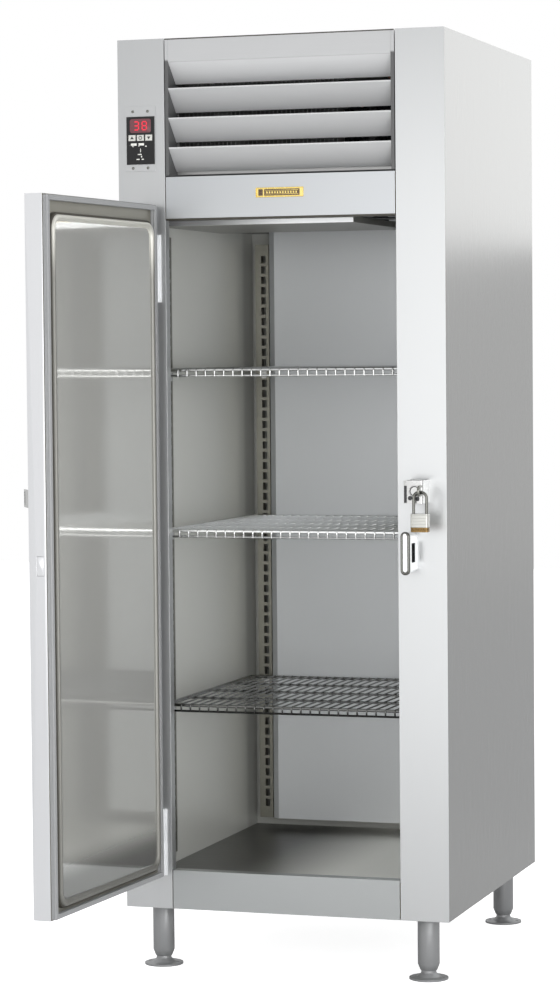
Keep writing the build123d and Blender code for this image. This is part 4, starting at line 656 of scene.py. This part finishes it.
LAMINATIONS, BRASS_PLATES = 9, 3
CASE_PLATES = LAMINATIONS + BRASS_PLATES
CASE_CORNER, END_ROUNDING = 5.0, 1.0
bottom = PADLOCK_TOP - PADLOCK_H
pitch = PADLOCK_H / CASE_PLATES
PLATE_EDGE = ((0.02, 0.55), (0.3, 0.15), (0.6, 0.0), (pitch - 0.6, 0.0), (pitch - 0.3, 0.15),
              (pitch - 0.02, 0.55))


def case_plate(i):
    """The outlines of one plate of the padlock's case; the two end plates are rounded off more."""
    z, loops = bottom + i * pitch, []
    for dz, inset in PLATE_EDGE:
        at_end = (i == 0 and dz < 0.5) or (i == CASE_PLATES - 1 and dz > pitch - 0.5)
        edge = inset + (END_ROUNDING if at_end else 0.0)
        loops.append([(STAPLE_X + a, SHACKLE_Y + b, z + dz) for a, b in
                      rounded(PADLOCK_W - 2 * edge, PADLOCK_T - 2 * edge, CASE_CORNER, 6)])
    return loops


def rivets(z, rise):
    """The four rivet heads on the case's top (rise 1) or bottom (rise -1)."""
    head = [(0, 0), (2.4, 0), (2.3, 0.25 * rise), (1.6, 0.5 * rise), (0, 0.55 * rise)]
    return [lathe(head, (STAPLE_X + x, SHACKLE_Y + y, z), "z", 16)
            for x in (-16.2, 16.2) for y in (-6.0, 6.0)]


case_loops = [case_plate(i) for i in range(CASE_PLATES)]
piece("padlock_laminations", *join(loft(sum(case_loops[BRASS_PLATES:], [])), *rivets(PADLOCK_TOP - 0.35, 1)),
      "laminate", "lock_case", slot="padlock_steel", replaces=("padlock_body",), smooth=40)
piece("padlock_brass_band", *join(loft(sum(case_loops[:BRASS_PLATES], [])), *rivets(bottom + 0.55, -1)),
      "brass", "lock_case", slot="padlock_steel", smooth=40)
band_z = bottom + BRASS_PLATES * pitch
piece("padlock_band_line", *loft([[(STAPLE_X + a, SHACKLE_Y + b, band_z + dz) for a, b in
                                   rounded(PADLOCK_W + 2 * out, PADLOCK_T + 2 * out, CASE_CORNER, 6)]
                                  for out, dz in ((-0.4, -0.75), (0.2, -0.6), (0.2, 0.6), (-0.4, 0.75))]),
      "brass_dark", "lock_case", slot="padlock_steel", smooth=40)
piece("padlock_keyway", *lathe([(0, 0.4), (4.6, 0.4), (4.6, -0.1), (4.0, -0.35), (0, -0.35)],
                               (STAPLE_X, SHACKLE_Y, bottom), "z", 24), "dark_steel", "lock_case",
      slot="padlock_steel", smooth=35)

# ======================= Latch keeper =======================
KEEPER_X, KEEPER_Z = 299.5, 957.5
KEEPER_FACE = FRONT - 57.0
KEEPER_W, KEEPER_H = 21.5, 95.0
SLOT_LOW, SLOT_HIGH = LATCH_Z - 21.5, LATCH_Z + 21.5


def keeper_loop(x, width, height, radius, y, steps=8):
    """A rounded rectangle facing the front, about the keeper's middle."""
    return [(KEEPER_X + x + a, y, KEEPER_Z + b) for a, b in rounded(width, height, radius, steps)]


keeper_sections = [(1.0, 23.5, 85, 8, FRONT), (0.9, 23.3, 85.6, 8.1, FRONT - 3),
                   (0.7, 22.9, 88.2, 8.8, FRONT - 15.5)]
upper_sections = [(0.2, 21.8, 93.3, 10.0, FRONT - 40.5), (0, KEEPER_W, KEEPER_H, 10.4, FRONT - 49),
                  (0, KEEPER_W, KEEPER_H, 10.4, FRONT - 50)]
keeper_parts = [loft([keeper_loop(*s) for s in keeper_sections]),
                loft([keeper_loop(*s) for s in upper_sections])]
for low, high in ((KEEPER_Z - KEEPER_H / 2, SLOT_LOW), (SLOT_HIGH, KEEPER_Z + KEEPER_H / 2)):
    ends = []
    for section in (keeper_sections[-1], (0.5, 22.4, 90.3, 9.3, FRONT - 28), upper_sections[0]):
        ends.append([(px, py, min(max(pz, low), high)) for px, py, pz in keeper_loop(*section)])
    keeper_parts.append(loft(ends))
piece("latch_keeper_shell", *join(*keeper_parts), "satin", "cabinet", slot="chrome",
      replaces=("latch_keeper",), smooth=40)
RIM = ((0, -7.0), (0, -4.2), (0.5, -2.2), (1.6, -0.7), (3.2, -0.05), (4.6, -0.5), (5.6, -1.6), (5.8, -3.0),
       (5.8, -7.0))
rim_loops = [keeper_loop(0, KEEPER_W - 2 * i, KEEPER_H - 2.3 * i, 10.4 - i, KEEPER_FACE - y) for i, y in RIM]
# The rim's near-black chrome is painted shade.
piece("latch_keeper_rim", *loft(rim_loops, ring=True), "dark_chrome", "cabinet", slot="chrome", smooth=50)
keeper_rivet = lathe([(0, 0.6), (4.3, 0.6), (4.2, -0.1), (3.4, -0.65), (1.8, -0.95), (0, -1.0)],
                     (KEEPER_X, KEEPER_FACE + 1.1, KEEPER_Z + 41.5), "y", 28)
keeper_inlay = loft([keeper_loop(0, w, h, r, KEEPER_FACE + y) for w, h, r, y in (
    (10.0, 81.8, 4.8, 6.5), (10.0, 81.8, 4.8, 2.3), (9.2, 81.0, 4.4, 1.7), (6.0, 77.8, 2.9, 1.4))])
piece("latch_keeper_face", *join(keeper_inlay, keeper_rivet), "pearl", "cabinet", slot="chrome", smooth=40)

SLOT_Y = (FRONT - 40.4, FRONT - 15.6)
slot_loops = []
for x, inset in ((-10.9, 0.0), (11.6, 0.0), (11.6, 0.7), (-10.9, 0.7)):
    y0, y1, z0, z1 = SLOT_Y[0] + inset, SLOT_Y[1] - inset, SLOT_LOW + 0.1 + inset, SLOT_HIGH - 0.1 - inset
    slot_loops.append([(KEEPER_X + x, y, z) for y, z in ((y0, z0), (y1, z0), (y1, z1), (y0, z1))])
piece("latch_keeper_slot", *loft(slot_loops, ring=True), "enamel", "cabinet", slot="black_plastic", smooth=30)

# ======================= Painted shade line over the louvre, painted light and shade strips under the header ===
frame_lo, frame_hi = box_mm("louvre_frame")
# Painted shade: a near-black strip along the louvre frame's top edge draws the shadow line between louvre and
# header.
piece("louvre_top_shade_line", *block_data((frame_lo[0], frame_lo[1] - 0.35, frame_hi[2] - 3.2),
                                     (frame_hi[0], frame_lo[1] + 1.0, frame_hi[2] - 0.8)),
      "sealant", "cabinet", slot="gasket_rubber", smooth=30, bevel=0.1)
# Painted light: a near-white strip on the evaporator housing's front draws the light on it, darker towards
# the left.
house_lo, house_hi = box_mm("evaporator_housing")
strip_mid = ((house_lo[0] + house_hi[0]) / 2, (house_lo[2] + house_hi[2]) / 2)
strip_w, strip_h = house_hi[0] - house_lo[0] - 1.0, house_hi[2] - house_lo[2] - 1.0
strip_loops = [front_loop(strip_mid, strip_w - 2 * i, strip_h - 2 * i, 1.0, house_lo[1] + d)
               for i, d in ((0.0, 0.3), (0.0, -0.7), (0.5, -1.2))]
piece("evaporator_front_strip", *loft(strip_loops), "strip", "cabinet", slot="liner_metal", smooth=30)
header_lo = box_mm("header_panel")[0]
# The dark strip under the header stands for a breaker strip, and its near-black colour also paints the shadow
# line there.
piece("lintel_shade_strip", *block_data((header_lo[0] + 4, header_lo[1] + 3.0, header_lo[2] - 4.0),
                                 (-header_lo[0] - 4, header_lo[1] + 42.0, header_lo[2] + 0.2)),
      "sealant", "cabinet", slot="gasket_rubber", smooth=30, bevel=0.3)

# ======================= Shelves of round wire =======================
for node_name, z in SHELVES.items():
    rods = []
    for y in (SHELF_Y0, SHELF_Y1):
        rods.append(tube([(-SHELF_HALF - 1.5, y, z), (SHELF_HALF + 1.5, y, z)], RIM_R, 12))
    for x in (-SHELF_HALF, SHELF_HALF):
        rods.append(tube([(x, SHELF_Y0 - 1.5, z), (x, SHELF_Y1 + 1.5, z)], RIM_R, 12))
    for y in (-195, -40, 115):
        rods.append(tube([(-SHELF_HALF, y, z - 1.1), (SHELF_HALF, y, z - 1.1)], CROSS_R, 12))
    rods.append(tube([(x, SHELF_Y0 - 1.7, z - 13) for x in (-SHELF_HALF + 14, SHELF_HALF - 14)], LOWER_R, 12))
    for i in range(WIRE_COUNT):
        x = (i - WIRE_COUNT // 2) * WIRE_PITCH
        line = [(x, SHELF_Y0 - 4, z - 14.2), (x, SHELF_Y0 - 4, z - 3.2)]
        line += arc((x, SHELF_Y0 + 1.5, z - 3.0), 5.5, 180, 90, 5, ((0, 1, 0), (0, 0, 1)))
        line += [(x, SHELF_Y1 + 1.3, z + 2.5)]
        rods.append(tube(line, WIRE_R, 10))
    piece(node_name + "_wires", *join(*rods), SHELF_LOOKS[node_name], node_name, slot="wire_coated",
          replaces=(node_name,), smooth=60)

# ======================= Lever =======================
ROSE_V = -DOOR_T
BLADE_STEPS, BLADE_LEN, BLADE_V, BLADE_R = 12, 114, ROSE_V - 30.4, 4.2
TIP_START = 0.85                    # past this share of its length the blade narrows to its tip
hub = [(6.1, 20), (6.1, -6.4), (13, -6.6), (13.2, -10), (12.4, -14), (12.4, -30), (11.5, -34.5),
       (8.5, -36), (0, -36)]
blade = []
for step in range(BLADE_STEPS + 1):
    t = step / BLADE_STEPS
    tip = max(0.0, t - TIP_START) / (1.0 - TIP_START)
    half, thick = 9.0 - 1.2 * sin(pi * t) - 2.2 * tip, 5.4 - 1.6 * tip
    blade.append([(LEVER_U - 4 - t * BLADE_LEN, BLADE_V + b, LATCH_Z + a)
                  for a, b in rounded(2 * half, 2 * thick, BLADE_R, 5)])
lever_parts = [lathe(hub, (LEVER_U, ROSE_V, LATCH_Z), "y", 40), loft(blade)]
piece("latch_lever_handle", *join(*lever_parts), "chrome", "lever", DOOR, "chrome", ("latch_lever",), 45)

# ======================= Camera, lights, floor =======================
CAMERA_AT, LENS = (2.07508, -6.79292, 1.39808), 108.41
AZIMUTH, ELEVATION, ROLL = radians(18.048), radians(2.818), radians(-0.506)
camera_data = bpy.data.cameras.new("camera")
camera_data.sensor_width, camera_data.lens = 36.0, LENS
camera_data.clip_start, camera_data.clip_end = 0.1, 60.0
camera = bpy.data.objects.new("camera", camera_data)
bpy.context.scene.collection.objects.link(camera)
bpy.context.scene.camera = camera
forward = Vector((-sin(AZIMUTH) * cos(ELEVATION), cos(AZIMUTH) * cos(ELEVATION), -sin(ELEVATION)))
right = forward.cross(Vector((0, 0, 1))).normalized()
up = right.cross(forward)
rolled_right = right * cos(ROLL) + up * sin(ROLL)
rolled_up = up * cos(ROLL) - right * sin(ROLL)
camera.matrix_world = Matrix.Translation(CAMERA_AT) @ Matrix(
    (rolled_right, rolled_up, -forward)).transposed().to_4x4()

world = bpy.data.worlds.new("studio")
bpy.context.scene.world = world
world.use_nodes = True
sky = world.node_tree
background = sky.nodes["Background"]
direction = sky.nodes.new("ShaderNodeTexCoord")
split = sky.nodes.new("ShaderNodeSeparateXYZ")
sky.links.new(direction.outputs["Generated"], split.inputs[0])
rise = sky.nodes.new("ShaderNodeMapRange")
socket(rise, "From Min", -0.35)
socket(rise, "From Max", 0.5)
sky.links.new(split.outputs["Z"], rise.inputs["Value"])
shade = sky.nodes.new("ShaderNodeMix")
shade.data_type = "RGBA"
shade.inputs["A"].default_value = (0.79, 0.79, 0.78, 1)
shade.inputs["B"].default_value = (0.92, 0.925, 0.935, 1)
sky.links.new(rise.outputs["Result"], shade.inputs["Factor"])
# The surround that lights the object is grey; the camera itself sees it white.
backdrop = sky.nodes.new("ShaderNodeMix")
backdrop.data_type = "RGBA"
backdrop.inputs["B"].default_value = (1.0, 1.0, 1.0, 1)
eye_ray = sky.nodes.new("ShaderNodeLightPath")
sky.links.new(eye_ray.outputs["Is Camera Ray"], backdrop.inputs["Factor"])
sky.links.new(shade.outputs["Result"], backdrop.inputs["A"])
sky.links.new(backdrop.outputs["Result"], background.inputs["Color"])
socket(background, "Strength", 1.0)


def softbox(name, at, aim, size, watts, spread=180):
    """A rectangular area light at one point, aimed at another; spread is in degrees."""
    data = bpy.data.lights.new(name, "AREA")
    data.shape, data.size, data.size_y = "RECTANGLE", size[0], size[1]
    data.energy = watts
    lamp = bpy.data.objects.new(name, data)
    bpy.context.scene.collection.objects.link(lamp)
    lamp.location = at
    lamp.rotation_mode = "QUATERNION"
    lamp.rotation_quaternion = (Vector(aim) - Vector(at)).to_track_quat("-Z", "Y")
    lamp.visible_camera = False
    data.spread = radians(spread)


softbox("front", (0.35, -3.3, 1.25), (0.35, 0.0, 1.25), (2.7, 2.1), 18)
softbox("rear_high", (1.2, 1.6, 2.38), (0.6, 0.0, 2.0), (2.0, 1.4), 8.6)
softbox("cabin", (1.15, -1.9, 1.05), (-0.3, -0.2, 1.0), (0.9, 1.7), 4.8, 80)

FLOOR_HALF, FLOOR_GLOW = 12, 0.8
floor_mesh = bpy.data.meshes.new("studio_floor")
floor_corners = [(x * FLOOR_HALF, y * FLOOR_HALF, 0) for x, y in ((-1, -1), (1, -1), (1, 1), (-1, 1))]
floor_mesh.from_pydata(floor_corners, [], [(0, 1, 2, 3)])
paint = surface("studio_floor_paint", (0.74, 0.74, 0.74), 0.8, grain=(3, 3, 3), tone=0.004)
floor_shader = paint.node_tree.nodes["Principled BSDF"]
socket(floor_shader, "Emission Color", (1, 1, 1, 1))
floor_ray = paint.node_tree.nodes.new("ShaderNodeLightPath")
floor_glow = paint.node_tree.nodes.new("ShaderNodeMath")
floor_glow.operation = "MULTIPLY"
floor_glow.inputs[1].default_value = FLOOR_GLOW
paint.node_tree.links.new(floor_ray.outputs["Is Camera Ray"], floor_glow.inputs[0])
paint.node_tree.links.new(floor_glow.outputs[0], floor_shader.inputs["Emission Strength"])
floor_mesh.materials.append(paint)
floor = bpy.data.objects.new("studio_floor", floor_mesh)
bpy.context.scene.collection.objects.link(floor)

bpy.context.scene.view_settings.view_transform = "Standard"
bpy.context.scene.view_settings.look = "None"
